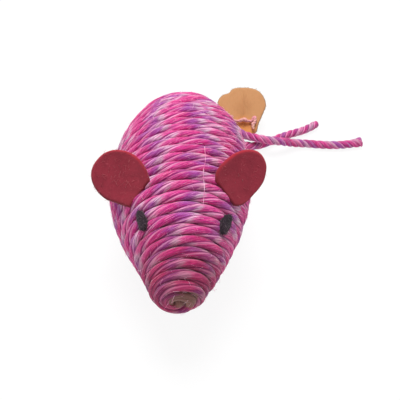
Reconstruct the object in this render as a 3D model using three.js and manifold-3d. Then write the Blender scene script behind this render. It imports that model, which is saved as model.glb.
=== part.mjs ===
// A mouse cat toy wound from cotton rope: a teardrop body of close turns round a two-part core,
// red felt ears, black felt eyes, and a tail of two rope ends with a feather tied to it.
// Millimetres, +Z up. The nose points to -Y, and the origin is the middle of the base.

import * as THREE from 'three';
import { mergeVertices } from 'three/addons/utils/BufferGeometryUtils.js';
import Module from 'manifold-3d';

const wasm = await Module();
wasm.setup();

// Rope
const ropeDiameter = 3.6;
const turnGap = 0.5;
const touchGap = 0.3;
const restGap = 0.1;
const bellyFlatShare = 0.1;
const ropeSides = 6;
const stepsPerTurn = 24;
const bendSteps = 5;

// Wound body, measured to the middle of the rope
const bodyLength = 89;
const girthRadius = 23.25;
const noseCoilRadius = 2.8;
const noseBoreDepth = 9;
const rearBendRadius = 2.4;
const bodyOutlineShares = [
  [0.004, 0.2], [0.022, 0.3], [0.06, 0.385], [0.14, 0.54], [0.24, 0.72], [0.35, 0.888],
  [0.46, 0.98], [0.6, 0.997], [0.72, 0.94], [0.82, 0.8], [0.91, 0.58], [0.975, 0.32], [1, 0.12],
];
const rearTurnAngle = THREE.MathUtils.degToRad(95);

// Core
const coreWall = 2.4;
const coreJointShare = 0.55;
const coreLap = 4;
const knotRadius = 6;
const coreSegments = 32;
const outlineSteps = 9;

// Ears
const feltThickness = 1.8;
const earHeight = 18.2;
const earWidth = 18.6;
const earBaseWidth = 13.6;
const earRootDepth = 4;
const earInnerShare = 0.373;
const earInnerAngle = THREE.MathUtils.degToRad(24.5);
const earLowerShare = 0.315;
const earLowerAngle = THREE.MathUtils.degToRad(57.5);
const earLeanShares = [0.72, 0.63, 0.29];
const earCurveSteps = 12;

// Eyes
const eyeLength = 8.4;
const eyeWidth = 4.6;
const eyeDome = 1.5;
const eyeShare = 0.234;
const leftEyeAngle = THREE.MathUtils.degToRad(-43.5);
const rightEyeAngle = THREE.MathUtils.degToRad(48.5);
const eyeSegments = 16;
const eyeRings = 10;

// Tail: each point is how far right, how far behind the body, the share of the way up from the
// floor to the body's axis, and how many ropes it lies on.
const tailStraight = 1.2;
const longTailRoute = [
  [-0.3, 9.3, 0.913, 0], [-1.2, 12.7, 0.706, 0], [0.1, 14.7, 0.559, 0], [3.6, 16.5, 0.45, 0],
  [12.5, 16.9, 0.341, 0], [17.1, 14.7, 0.265, 0], [22.2, 10.9, 0.185, 0], [26, 8.4, 0.127, 0.04],
  [30.1, 6.2, 0.076, 0.5], [33.6, 4.8, 0.02, 1], [37.6, 4.1, 0, 1.1], [42.5, 5, 0, 0.85],
  [46.7, 6.5, 0, 0.4], [50.5, 7.6, 0, 0.1], [54.5, 8.1, 0, 0], [61, 8, 0, 0], [68.5, 8.5, 0, 0],
  [74.4, 9.9, 0, 0], [78, 11.1, 0, 0],
];
const shortTailRoute = [
  [4.5, 9.9, 0.842, 0], [6.2, 12.4, 0.757, 0], [9, 13.8, 0.611, 0], [12.9, 12.8, 0.417, 0],
  [15.1, 11.4, 0.291, 0], [18.3, 8.8, 0.14, 0], [21.7, 6.8, 0.054, 0], [26, 5.1, 0.01, 0],
  [30, 4.6, 0, 0], [33.4, 5.3, 0, 0], [36.5, 6.9, 0, 0], [39.8, 9, 0, 0], [43.6, 11.3, 0, 0],
  [47.8, 13.5, 0, 0], [53, 16, 0, 0], [57, 18.7, 0, 0], [60.5, 21.7, 0, 0],
];
const tailSides = 8;
const tailStepDiameters = 1.2;

// Thin strand that ties the feather to the tail, and its loose end across the feather
const strandDiameter = 1.3;
const tieDistance = 19.5;
const tieSteps = 8;
const strandRoute = [[-2.3, 5.5], [1.9, 5.2], [3.6, 4.2], [5.3, 6.5], [7, 7.2], [7.4, 5.2], [6.2, 2]];
const strandStep = 1.2;
const strandRise = THREE.MathUtils.degToRad(50);

// Feather: the vane's outline is given as shares of its half width across and of its length along
const quillDiameter = 1.6;
const quillTipDiameter = 0.7;
const quillTail = 3;
const quillLength = 17;
const quillGap = 0.9;
const quillSag = 1.5;
const quillSteps = 16;
const featherRight = 6.9;
const featherForward = 1.3;
const featherDrop = 2.7;
const featherTilt = THREE.MathUtils.degToRad(25);
const vaneThickness = 0.6;
const vaneHalfWidth = 11;
const vaneLength = 20;
const vaneRightShares = [
  [0, -0.03], [0.49, 0.01], [0.62, 0.2], [0.8, 0.42], [0.9, 0.61], [0.78, 0.82], [0.57, 0.94],
  [0.33, 0.985], [-0.03, 0.99], [-0.42, 0.95],
];
const vaneNotchShares = [-0.64, 0.82];
const vaneLeftShares = [[-0.87, 0.765], [-1.03, 0.58], [-0.85, 0.42], [-0.43, 0.27], [-0.15, 0.03]];
const vaneCurveSteps = 2;

const ropeRadius = ropeDiameter / 2;
const strandRadius = strandDiameter / 2;
const quillRadius = quillDiameter / 2;
const ropePitch = ropeDiameter + turnGap;
const boreRadius = ropeRadius + touchGap;
const bellyDepth = bellyFlatShare * ropeDiameter;
const floorHeight = -(girthRadius + ropeRadius - bellyDepth);
const tailRestHeight = floorHeight + ropeRadius + restGap;

function material(colour, roughness) {
  return new THREE.MeshStandardMaterial({ color: colour, roughness, metalness: 0 });
}

const ropeMaterial = material(0xc2508f, 0.85);
const feltMaterial = material(0x8c303c, 0.95);
const eyeMaterial = material(0x3a3238, 0.95);
const coreMaterial = material(0xc9b08a, 0.8);
const featherMaterial = material(0xc8915f, 0.7);
const strandMaterial = material(0xd45a9a, 0.9);

const toy = new THREE.Group();

function addPiece(name, geometry, pieceMaterial) {
  const mesh = new THREE.Mesh(geometry, pieceMaterial);
  mesh.name = name;
  toy.add(mesh);
  return mesh;
}

// Joins and cuts

function asSolid(geometry) {
  const bare = geometry.clone();
  bare.deleteAttribute('normal');
  bare.deleteAttribute('uv');
  const merged = mergeVertices(bare, ropeDiameter * 1e-5);
  const vertProperties = new Float32Array(merged.attributes.position.array);
  const triVerts = new Uint32Array(merged.index.array);
  return new wasm.Manifold(new wasm.Mesh({ numProp: 3, vertProperties, triVerts }));
}

function asGeometry(solid) {
  const mesh = solid.getMesh();
  const geometry = new THREE.BufferGeometry();
  geometry.setAttribute('position', new THREE.BufferAttribute(mesh.vertProperties, 3));
  geometry.setIndex(new THREE.BufferAttribute(mesh.triVerts, 1));
  geometry.computeVertexNormals();
  return geometry;
}

// Outline of the body: how far along the axis and how far from it, by distance along the outline

const outlineCurve = new THREE.CatmullRomCurve3(
  [[0, noseCoilRadius / girthRadius], ...bodyOutlineShares].map(
    ([alongShare, radiusShare]) =>
      new THREE.Vector3(alongShare * bodyLength, radiusShare * girthRadius, 0),
  ),
  false,
  'centripetal',
);
outlineCurve.arcLengthDivisions = 800;
const outlineLength = outlineCurve.getLength();

function outlineAt(share) {
  const point = outlineCurve.getPointAt(share);
  const tangent = outlineCurve.getTangentAt(share);
  return { along: point.x, radius: point.y, alongSlope: tangent.x, radiusSlope: tangent.y };
}

// Search for the share of the outline where a test on its point first fails
function outlineShareWhere(isBefore) {
  let low = 0;
  let high = 1;
  for (let step = 0; step < 40; step += 1) {
    const middle = (low + high) / 2;
    if (isBefore(outlineAt(middle))) {
      low = middle;
    } else {
      high = middle;
    }
  }
  return low;
}

const rearShare = outlineShareWhere(
  ({ along, radius }) => along < bodyLength / 2 || radius > ropePitch,
);

function bodyPoint(share, angle, offset) {
  const { along, radius, alongSlope, radiusSlope } = outlineAt(share);
  const outRadius = radius + offset * alongSlope;
  const outAlong = along - offset * radiusSlope;
  return new THREE.Vector3(outRadius * Math.sin(angle), outAlong, outRadius * Math.cos(angle));
}

function bodyNormal(share, angle) {
  const { alongSlope, radiusSlope } = outlineAt(share);
  const across = alongSlope;
  return new THREE.Vector3(across * Math.sin(angle), -radiusSlope, across * Math.cos(angle)).normalize();
}

// Rope turns

function sweptTube(points, outwards, radii, sides, isClosed) {
  const positions = [];
  const indices = [];
  const count = points.length;
  points.forEach((point, index) => {
    const before = points[isClosed ? (index + count - 1) % count : Math.max(index - 1, 0)];
    const after = points[isClosed ? (index + 1) % count : Math.min(index + 1, count - 1)];
    const tangent = after.clone().sub(before).normalize();
    const outward = outwards[index];
    const up = outward.clone().addScaledVector(tangent, -outward.dot(tangent)).normalize();
    const across = new THREE.Vector3().crossVectors(tangent, up);
    const radius = radii[index] ?? radii[0];
    for (let side = 0; side < sides; side += 1) {
      const angle = (2 * Math.PI * side) / sides;
      const rim = point
        .clone()
        .addScaledVector(up, radius * Math.cos(angle))
        .addScaledVector(across, radius * Math.sin(angle));
      positions.push(rim.x, rim.y, rim.z);
    }
  });
  const rings = isClosed ? count : count - 1;
  for (let ring = 0; ring < rings; ring += 1) {
    for (let side = 0; side < sides; side += 1) {
      const nextSide = (side + 1) % sides;
      const here = ring * sides;
      const next = ((ring + 1) % count) * sides;
      indices.push(here + side, here + nextSide, next + side);
      indices.push(here + nextSide, next + nextSide, next + side);
    }
  }
  if (!isClosed) {
    for (let side = 1; side < sides - 1; side += 1) {
      const last = (count - 1) * sides;
      indices.push(0, side + 1, side);
      indices.push(last, last + side, last + side + 1);
    }
  }
  const geometry = new THREE.BufferGeometry();
  geometry.setAttribute('position', new THREE.Float32BufferAttribute(positions, 3));
  geometry.setIndex(indices);
  geometry.computeVertexNormals();
  return geometry;
}

const turnCount = Math.floor((outlineLength * rearShare) / ropePitch);

function windingLine() {
  const points = [];
  const outwards = [];
  const stepCount = turnCount * stepsPerTurn;
  for (let step = 0; step <= stepCount; step += 1) {
    const share = (rearShare * step) / stepCount;
    const angle = rearTurnAngle + (2 * Math.PI * step) / stepsPerTurn;
    points.push(bodyPoint(share, angle, 0));
    outwards.push(bodyNormal(share, angle));
  }
  return { points, outwards };
}

// The rope starts in the core's nose bore on the axis and curves out into the first turn
function noseStart(firstPoint, firstDirection) {
  const bendStart = new THREE.Vector3(0, noseBoreDepth - ropeDiameter, 0);
  const bend = new THREE.CubicBezierCurve3(
    bendStart,
    new THREE.Vector3(0, ropeRadius / 2, 0),
    firstPoint.clone().addScaledVector(firstDirection, -ropeRadius),
    firstPoint,
  );
  return [new THREE.Vector3(0, noseBoreDepth, 0), ...bend.getPoints(bendSteps + 1).slice(0, -1)];
}

// The last turn bends out of the body and runs straight back into the short tail
function rearEnd(lastPoint, lastDirection) {
  const points = [];
  const back = new THREE.Vector3(0, 1, 0);
  for (let step = 1; step <= bendSteps; step += 1) {
    const bendAngle = (Math.PI / 2) * (step / bendSteps);
    points.push(
      lastPoint
        .clone()
        .addScaledVector(lastDirection, rearBendRadius * Math.sin(bendAngle))
        .addScaledVector(back, rearBendRadius * (1 - Math.cos(bendAngle))),
    );
  }
  points.push(points[points.length - 1].clone().addScaledVector(back, ropeDiameter));
  return points;
}

const { points: turnPoints, outwards: turnOutwards } = windingLine();
const firstDirection = turnPoints[1].clone().sub(turnPoints[0]).normalize();
const lastDirection = turnPoints[turnPoints.length - 1]
  .clone()
  .sub(turnPoints[turnPoints.length - 2])
  .setY(0)
  .normalize();
const startPoints = noseStart(turnPoints[0], firstDirection);
const endPoints = rearEnd(turnPoints[turnPoints.length - 1], lastDirection);
const startOutward = firstDirection.clone().negate();
const endOutward = lastDirection.clone().negate();
const ropeLine = [...startPoints, ...turnPoints, ...endPoints];
const ropeOutwards = [
  ...startPoints.map((point, index) =>
    startOutward.clone().lerp(turnOutwards[0], index / startPoints.length),
  ),
  ...turnOutwards,
  ...endPoints.map((point, index) =>
    turnOutwards[turnOutwards.length - 1].clone().lerp(endOutward, (index + 1) / endPoints.length),
  ),
];

// Least clear space between two stretches of the rope more than half a turn apart
function leastGap(points) {
  let least = Infinity;
  let place = 0;
  for (let first = 0; first < points.length; first += 1) {
    for (let second = first + stepsPerTurn / 2; second < points.length; second += 1) {
      const distance = points[first].distanceTo(points[second]);
      if (distance < least) {
        least = distance;
        place = first;
      }
    }
  }
  return { clear: least - ropeDiameter, turn: place / stepsPerTurn };
}

const tightest = leastGap(ropeLine);
const tightestTurn = tightest.turn.toFixed(1);
console.log(`${turnCount} turns, least gap ${tightest.clear.toFixed(2)} mm, at turn ${tightestTurn}`);

function boxBelow(height) {
  const size = 4 * bodyLength;
  return new THREE.BoxGeometry(size, size, size).translate(0, 0, height - size / 2);
}

function winding() {
  const rope = sweptTube(ropeLine, ropeOutwards, [ropeRadius], ropeSides, false);
  return asSolid(rope).subtract(asSolid(boxBelow(floorHeight)));
}

addPiece('body_winding', asGeometry(winding()), ropeMaterial);

// Core, in two shells that lap at the joint

const coreOffset = -(ropeRadius + touchGap);
const chordShare = Math.cos(Math.PI / stepsPerTurn);

function corePoint(share, offset) {
  const { along, radius, alongSlope, radiusSlope } = outlineAt(share);
  const shift = coreOffset - offset;
  const insideTurns = radius * chordShare + shift * alongSlope;
  return new THREE.Vector2(Math.max(insideTurns, 0), along - shift * radiusSlope);
}

function coreStretch(fromShare, toShare, offset) {
  const points = [];
  for (let step = 0; step <= outlineSteps; step += 1) {
    points.push(corePoint(fromShare + ((toShare - fromShare) * step) / outlineSteps, offset));
  }
  return points;
}

function turnedSolid(profile, segments) {
  return asSolid(new THREE.LatheGeometry(profile, segments));
}

const noseShare = outlineShareWhere(({ radius }) => radius < boreRadius + ropeDiameter);
const noseBoreFloor = noseBoreDepth + touchGap;
const noseBlock = noseBoreFloor + coreWall;
const innerNoseShare = outlineShareWhere(({ along }) => along < noseBlock + coreWall);
const innerRearShare = outlineShareWhere(
  ({ along, radius }) => along < bodyLength / 2 || radius > knotRadius + coreWall,
);
const coreRearShare = outlineShareWhere(
  ({ along, radius }) => along < bodyLength / 2 || radius > boreRadius + coreWall,
);
const jointOuter = corePoint(coreJointShare, 0);
const jointMiddle = corePoint(coreJointShare, (coreWall - touchGap) / 2);
const jointInner = corePoint(coreJointShare, coreWall);
const lapMiddle = corePoint(coreJointShare, (coreWall + touchGap) / 2);

function coreFront() {
  const outer = coreStretch(noseShare, coreJointShare, 0);
  const inner = coreStretch(coreJointShare, innerNoseShare, coreWall);
  return turnedSolid([
    new THREE.Vector2(0, noseBoreFloor),
    new THREE.Vector2(boreRadius, noseBoreFloor),
    new THREE.Vector2(boreRadius, boreRadius + ropeDiameter),
    new THREE.Vector2(boreRadius + ropeRadius, boreRadius),
    ...outer,
    new THREE.Vector2(lapMiddle.x, jointOuter.y),
    new THREE.Vector2(lapMiddle.x, jointOuter.y + coreLap),
    new THREE.Vector2(jointInner.x, jointOuter.y + coreLap),
    ...inner.slice(1),
    new THREE.Vector2(0, noseBlock),
  ], coreSegments);
}

function coreRear() {
  const outer = coreStretch(coreJointShare, coreRearShare, 0).slice(1);
  const inner = coreStretch(innerRearShare, coreJointShare, coreWall).slice(0, -1);
  const start = jointOuter.y + touchGap;
  const lapEnd = jointOuter.y + coreLap + touchGap;
  return turnedSolid([
    new THREE.Vector2(jointMiddle.x, start),
    new THREE.Vector2(jointOuter.x, start),
    ...outer,
    new THREE.Vector2(boreRadius, outer[outer.length - 1].y),
    new THREE.Vector2(boreRadius, inner[0].y),
    ...inner.filter((point) => point.y > lapEnd + touchGap),
    new THREE.Vector2(jointInner.x, lapEnd),
    new THREE.Vector2(jointMiddle.x, lapEnd),
    new THREE.Vector2(jointMiddle.x, start),
  ], coreSegments);
}

addPiece('core_front', asGeometry(coreFront()), coreMaterial);
addPiece('core_rear', asGeometry(coreRear()), coreMaterial);

// Knot that holds the long tail rope inside the core, flat where the rope leaves it

function knot() {
  const rear = corePoint(innerRearShare, coreWall).y - touchGap;
  const flatAngle = Math.asin(boreRadius / knotRadius);
  const centre = rear - knotRadius * Math.cos(flatAngle);
  const profile = [new THREE.Vector2(0, centre - knotRadius)];
  for (let step = 1; step < outlineSteps; step += 1) {
    const angle = Math.PI - ((Math.PI - flatAngle) * step) / (outlineSteps - 1);
    const radius = knotRadius * Math.sin(angle);
    profile.push(new THREE.Vector2(radius, centre + knotRadius * Math.cos(angle)));
  }
  profile.push(new THREE.Vector2(0, rear));
  return turnedSolid(profile, coreSegments / 2);
}

addPiece('rope_knot', asGeometry(knot()), ropeMaterial);

// Ears and eyes are cut by this envelope of the turns, so that they seat on the crests

function shareAlong(alongShare) {
  return outlineShareWhere(({ along }) => along < alongShare * bodyLength);
}

function envelope() {
  const profile = [];
  for (let step = 0; step <= 3 * outlineSteps; step += 1) {
    const { along, radius, alongSlope, radiusSlope } = outlineAt(step / (3 * outlineSteps));
    const outRadius = radius + boreRadius * alongSlope;
    profile.push(new THREE.Vector2(outRadius, along - boreRadius * radiusSlope));
  }
  const first = profile[0];
  const last = profile[profile.length - 1];
  return turnedSolid(
    [new THREE.Vector2(0, first.y), ...profile, new THREE.Vector2(0, last.y)],
    2 * coreSegments,
  );
}

const bodyEnvelope = envelope();

// Ears: flat felt petals that stand in a line across the turns

function earOutline() {
  const round = earWidth / 2;
  const half = earBaseWidth / 2;
  const middle = earHeight - round;
  const outline = new THREE.Shape();
  outline.moveTo(-half, -earRootDepth);
  outline.lineTo(-half, 0);
  outline.quadraticCurveTo(-round, middle / 2, -round, middle);
  outline.absarc(0, middle, round, Math.PI, 0, true);
  outline.quadraticCurveTo(round, middle / 2, half, 0);
  outline.lineTo(half, -earRootDepth);
  return outline;
}

function ear(side) {
  const inner = bodyPoint(shareAlong(earInnerShare), side * earInnerAngle, ropeRadius);
  const lower = bodyPoint(shareAlong(earLowerShare), side * earLowerAngle, ropeRadius);
  const across = lower.clone().sub(inner).normalize().multiplyScalar(side);
  const lean = new THREE.Vector3(side * earLeanShares[0], earLeanShares[1], earLeanShares[2]);
  const out = lean.addScaledVector(across, -lean.dot(across)).normalize();
  const face = new THREE.Vector3().crossVectors(across, out);
  const blade = new THREE.ExtrudeGeometry(earOutline(), {
    depth: feltThickness,
    bevelEnabled: false,
    curveSegments: earCurveSteps,
  });
  blade.translate(0, 0, -feltThickness / 2);
  blade.applyMatrix4(new THREE.Matrix4().makeBasis(across, out, face));
  const middle = inner.clone().lerp(lower, 0.5);
  blade.translate(middle.x, middle.y, middle.z);
  return asSolid(blade).subtract(bodyEnvelope);
}

addPiece('left_ear', asGeometry(ear(-1)), feltMaterial);
addPiece('right_ear', asGeometry(ear(1)), feltMaterial);

// Eyes: small domed felt ovals that lie along the body

function eye(angle) {
  const share = shareAlong(eyeShare);
  const normal = bodyNormal(share, angle);
  const around = new THREE.Vector3(Math.cos(angle), 0, -Math.sin(angle));
  const lengthwise = new THREE.Vector3().crossVectors(normal, around);
  const dome = new THREE.SphereGeometry(1, eyeSegments, eyeRings);
  dome.scale(eyeWidth / 2, eyeLength / 2, eyeDome);
  dome.applyMatrix4(new THREE.Matrix4().makeBasis(around, lengthwise, normal));
  const seat = bodyPoint(share, angle, boreRadius);
  dome.translate(seat.x, seat.y, seat.z);
  return asSolid(dome).subtract(bodyEnvelope);
}

addPiece('left_eye', asGeometry(eye(leftEyeAngle)), eyeMaterial);
addPiece('right_eye', asGeometry(eye(rightEyeAngle)), eyeMaterial);

// Tail

function tailPoint([right, behind, upShare, ropesBelow]) {
  const height = tailRestHeight * (1 - upShare) + ropesBelow * (ropeDiameter + touchGap);
  return new THREE.Vector3(right, bodyLength + behind, height);
}

function smoothCurve(points) {
  return new THREE.CatmullRomCurve3(points, false, 'centripetal');
}

function cord(curve, radius, sides, stepLength) {
  const rim = [];
  for (let side = 0; side < sides; side += 1) {
    const angle = (2 * Math.PI * side) / sides;
    rim.push(new THREE.Vector2(radius * Math.cos(angle), radius * Math.sin(angle)));
  }
  return new THREE.ExtrudeGeometry(new THREE.Shape(rim), {
    steps: Math.round(curve.getLength() / stepLength),
    bevelEnabled: false,
    extrudePath: curve,
  });
}

const ropeEnd = endPoints[endPoints.length - 1];
const longStart = new THREE.Vector3(0, corePoint(innerRearShare, coreWall).y, 0);
const longStraightEnd = new THREE.Vector3(0, ropeEnd.y, 0);
const longCurve = smoothCurve([
  longStart,
  longStart.clone().lerp(longStraightEnd, 0.5),
  longStraightEnd,
  ...longTailRoute.map(tailPoint),
]);
const shortStart = ropeEnd.clone().setY(ropeEnd.y + touchGap);
const shortCurve = smoothCurve([
  shortStart,
  shortStart.clone().setY(shortStart.y + tailStraight),
  ...shortTailRoute.map(tailPoint),
]);
const tailStep = tailStepDiameters * ropeDiameter;
addPiece('tail_long', cord(longCurve, ropeRadius, tailSides, tailStep), ropeMaterial);
addPiece('tail_short', cord(shortCurve, ropeRadius, tailSides, tailStep), ropeMaterial);
[longCurve, shortCurve].forEach((curve) => console.log(`tail rope of ${curve.getLength().toFixed(0)} mm`));

// Tie: one turn of thin strand round both tail ropes and the quill

function curveShareWhere(curve, isBefore) {
  let low = 0;
  let high = 1;
  for (let step = 0; step < 40; step += 1) {
    const middle = (low + high) / 2;
    if (isBefore(curve.getPointAt(middle))) {
      low = middle;
    } else {
      high = middle;
    }
  }
  return low;
}

const tieShare = curveShareWhere(longCurve, (point) => point.x < tieDistance);
const longAtTie = longCurve.getPointAt(tieShare);
const tieAxis = longCurve.getTangentAt(tieShare);
const shortAtTie = shortCurve.getPointAt(
  curveShareWhere(shortCurve, (point) => point.clone().sub(longAtTie).dot(tieAxis) < 0),
);
const tieMajor = longAtTie.clone().sub(shortAtTie).normalize();
const tieMinor = new THREE.Vector3().crossVectors(tieAxis, tieMajor).normalize();
const tieMiddle = longAtTie.clone().lerp(shortAtTie, 0.5);
const tieReach = ropeRadius + touchGap + strandRadius;
const ropeToQuill = ropeRadius + quillRadius + quillGap;
const halfSpread = longAtTie.distanceTo(shortAtTie) / 2;
const quillSide = Math.sqrt(Math.max(ropeToQuill ** 2 - halfSpread ** 2, 0));
const quillAtTie = tieMiddle.clone().addScaledVector(tieMinor, -quillSide);

function tieRing() {
  const points = [];
  const addArc = (centre, reach, fromAngle, toAngle) => {
    for (let step = 0; step <= tieSteps; step += 1) {
      const angle = THREE.MathUtils.lerp(fromAngle, toAngle, step / tieSteps);
      points.push(
        centre
          .clone()
          .addScaledVector(tieMajor, reach * Math.sin(angle))
          .addScaledVector(tieMinor, -reach * Math.cos(angle)),
      );
    }
  };
  addArc(longAtTie, tieReach, 0, Math.PI);
  addArc(shortAtTie, tieReach, Math.PI, 2 * Math.PI);
  addArc(quillAtTie, quillRadius + quillGap + strandRadius, -Math.PI / 3, Math.PI / 3);
  const outwards = points.map((point) => point.clone().sub(tieMiddle));
  return sweptTube(points, outwards, [strandRadius], ropeSides, true);
}

addPiece('tail_tie', asGeometry(asSolid(tieRing())), strandMaterial);

// Feather: a flat vane on a curved quill that runs back under the tie

const featherRoot = longAtTie
  .clone()
  .add(new THREE.Vector3(featherRight, -featherForward, -featherDrop));
const featherAlong = new THREE.Vector3(0, Math.cos(featherTilt), Math.sin(featherTilt));
const featherFace = new THREE.Vector3(0, -Math.sin(featherTilt), Math.cos(featherTilt));
const featherBasis = new THREE.Matrix4()
  .makeBasis(new THREE.Vector3(1, 0, 0), featherAlong, featherFace)
  .setPosition(featherRoot);

// A point of the quill between the tie and the vane, where it hangs below the straight line
function quillPoint(share, sag) {
  return quillAtTie.clone().lerp(featherRoot, share).add(new THREE.Vector3(0, sag / 3, -sag));
}

function feather() {
  const onPlane = ([across, along]) => new THREE.Vector2(across * vaneHalfWidth, along * vaneLength);
  const [rightStart, ...rightPoints] = vaneRightShares.map(onPlane);
  const [leftStart, ...leftPoints] = vaneLeftShares.map(onPlane);
  const notch = onPlane(vaneNotchShares);
  const outline = new THREE.Shape();
  outline.moveTo(rightStart.x, rightStart.y);
  outline.splineThru(rightPoints);
  outline.lineTo(notch.x, notch.y);
  outline.lineTo(leftStart.x, leftStart.y);
  outline.splineThru(leftPoints);
  const vane = new THREE.ExtrudeGeometry(outline, {
    depth: vaneThickness,
    bevelEnabled: false,
    curveSegments: vaneCurveSteps,
  });
  vane.translate(0, 0, -vaneThickness / 2);
  vane.applyMatrix4(featherBasis);
  const quillDirection = featherRoot.clone().sub(quillAtTie).setZ(0).normalize();
  const spine = smoothCurve([
    quillAtTie.clone().addScaledVector(quillDirection, -quillTail),
    quillAtTie,
    quillPoint(0.58, quillSag),
    quillPoint(0.87, quillSag / 3),
    featherRoot.clone().addScaledVector(featherAlong, quillTail),
    featherRoot.clone().addScaledVector(featherAlong, quillLength),
  ]).getSpacedPoints(quillSteps);
  const radii = spine.map((point, index) =>
    THREE.MathUtils.lerp(quillRadius, quillTipDiameter / 2, index / (spine.length - 1)),
  );
  const quill = sweptTube(spine, spine.map(() => featherFace), radii, ropeSides, false);
  return asSolid(vane).add(asSolid(quill));
}

addPiece('feather', asGeometry(feather()), featherMaterial);

function strandEnd() {
  const height = vaneThickness / 2 + quillRadius + touchGap + strandRadius;
  const points = strandRoute.map(([across, along]) =>
    new THREE.Vector3(across, along, height).applyMatrix4(featherBasis),
  );
  const reach = tieReach + strandDiameter + touchGap;
  const start = longAtTie
    .clone()
    .addScaledVector(tieMajor, reach * Math.cos(strandRise))
    .addScaledVector(tieMinor, reach * Math.sin(strandRise));
  return cord(smoothCurve([start, ...points]), strandRadius, ropeSides, strandStep * strandDiameter);
}

addPiece('strand_end', strandEnd(), strandMaterial);

// The origin is the middle of the base of the body and ears

const onTail = ['tail_long', 'tail_short', 'tail_tie', 'feather', 'strand_end'];
const bodyBox = new THREE.Box3();
toy.children
  .filter((mesh) => !onTail.includes(mesh.name))
  .forEach((mesh) => bodyBox.expandByObject(mesh));
const base = bodyBox.getCenter(new THREE.Vector3()).setZ(bodyBox.min.z);
toy.position.copy(base).negate();

export default toy;
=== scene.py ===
# %% [markdown]
# # Mouse cat toy
# This script dresses a cat toy: a mouse wound from pink and purple cotton rope, with red felt
# ears, dark felt eyes, and a tail of two rope ends that hold a feather. The CAD model gives every
# piece its place and size. Blender gives the rope its strands, the felt its fibres and the feather
# its barbs. The nose points to -Y, up is +Z, and lengths are in metres.

# %% Frame and the box of the CAD model
import math

import bpy
import numpy as np
from mathutils import Matrix, Vector


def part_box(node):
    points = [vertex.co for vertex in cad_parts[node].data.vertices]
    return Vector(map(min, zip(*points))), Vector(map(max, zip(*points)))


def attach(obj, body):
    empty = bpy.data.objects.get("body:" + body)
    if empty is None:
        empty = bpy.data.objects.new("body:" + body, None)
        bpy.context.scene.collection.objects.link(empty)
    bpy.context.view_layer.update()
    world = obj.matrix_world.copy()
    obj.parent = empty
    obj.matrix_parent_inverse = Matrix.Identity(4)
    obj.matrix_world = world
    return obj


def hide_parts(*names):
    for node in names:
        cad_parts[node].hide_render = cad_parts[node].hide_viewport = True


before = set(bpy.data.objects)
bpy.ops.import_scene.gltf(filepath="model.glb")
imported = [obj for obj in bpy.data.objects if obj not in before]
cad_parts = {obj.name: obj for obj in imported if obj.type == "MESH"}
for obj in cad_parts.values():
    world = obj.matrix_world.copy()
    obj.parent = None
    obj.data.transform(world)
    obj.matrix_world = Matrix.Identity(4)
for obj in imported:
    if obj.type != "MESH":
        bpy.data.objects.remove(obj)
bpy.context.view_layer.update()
MM = 0.001

# %% [markdown]
# ## Camera
# The toy was photographed from above its nose. The camera comes first, because the cords are
# checked against its view. A long lens a little way off gives the same foreshortening of the
# body, and the small shift only moves the toy to its place in the square picture.

# %% Camera at the photograph's angle
CAMERA_PLACE = Vector((-6.98, -162.27, 208.04)) * MM
CAMERA_RIGHT = Vector((0.9978, 0.0256, 0.0610))
CAMERA_UP = Vector((-0.0598, 0.7428, 0.6668))
LENS_MM = 62.06
SENSOR_MM = 36
CAMERA_SHIFT = (0.0464, -0.0416)
CLIP_START = 10 * MM


def new_object(name, data):
    """Puts a new object with this data in the scene."""
    item = bpy.data.objects.new(name, data)
    bpy.context.collection.objects.link(item)
    return item


camera_data = bpy.data.cameras.new("photo_camera")
camera_data.lens = LENS_MM
camera_data.sensor_width = SENSOR_MM
camera_data.shift_x, camera_data.shift_y = CAMERA_SHIFT
camera_data.clip_start = CLIP_START
camera = new_object("photo_camera", camera_data)
right = CAMERA_RIGHT.normalized()
back = right.cross(CAMERA_UP).normalized()
up = back.cross(right)
turned = Matrix((right, up, back)).transposed().to_4x4()
camera.matrix_world = Matrix.Translation(CAMERA_PLACE) @ turned
bpy.context.scene.camera = camera
bpy.context.scene.view_settings.view_transform = "Standard"
print("camera looks along", [round(c, 3) for c in -back])

# %% [markdown]
# ## Sizes
# These are the sizes of the real toy, as the CAD model has them. The rope is 3.6 mm thick. Its
# turns press against each other, so the winding has a turn about every 3.3 mm.

# %% Sizes of the rope, the body and the tail
ROPE_RADIUS = 1.8 * MM
BELLY_FLAT = 0.36 * MM
TOUCH_GAP = 0.3 * MM
BODY_LENGTH = 89 * MM
GIRTH_RADIUS = 23.25 * MM
NOSE_Y = -46.33 * MM
AXIS_HEIGHT = GIRTH_RADIUS + ROPE_RADIUS - BELLY_FLAT
BODY_OUTLINE_SHARES = [
    [0.002, 0.055], [0, 0.1], [0.005, 0.2], [0.022, 0.29], [0.06, 0.363], [0.14, 0.522], [0.24, 0.715],
    [0.35, 0.888], [0.46, 0.98], [0.6, 0.997], [0.72, 0.94], [0.82, 0.8], [0.91, 0.58], [0.975, 0.32],
    [1, 0.12],
]
REAR_LEFT = 1.43 * MM
REAR_ANGLE = math.radians(95)

# %% [markdown]
# ## Lines
# Every rope, thread and quill follows a line. A smooth line goes through a few given points, and
# its own points are then spread evenly, so that the rope's twist has an even step.

# %% Smooth lines through a few points
FINE_STEPS = 24


def reach_along(line):
    """How far along a line each of its points is."""
    gaps = np.linalg.norm(np.diff(line[:, :3], axis=0), axis=1)
    return np.concatenate([[0], np.cumsum(gaps)])


def even_points(line, step):
    """The same line with its points spread evenly, about one every step."""
    line = np.asarray(line, float)
    reach = reach_along(line)
    count = max(int(round(reach[-1] / step)), 2)
    places = np.linspace(0, reach[-1], count + 1)
    return np.column_stack([np.interp(places, reach, column) for column in line.T])


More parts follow.
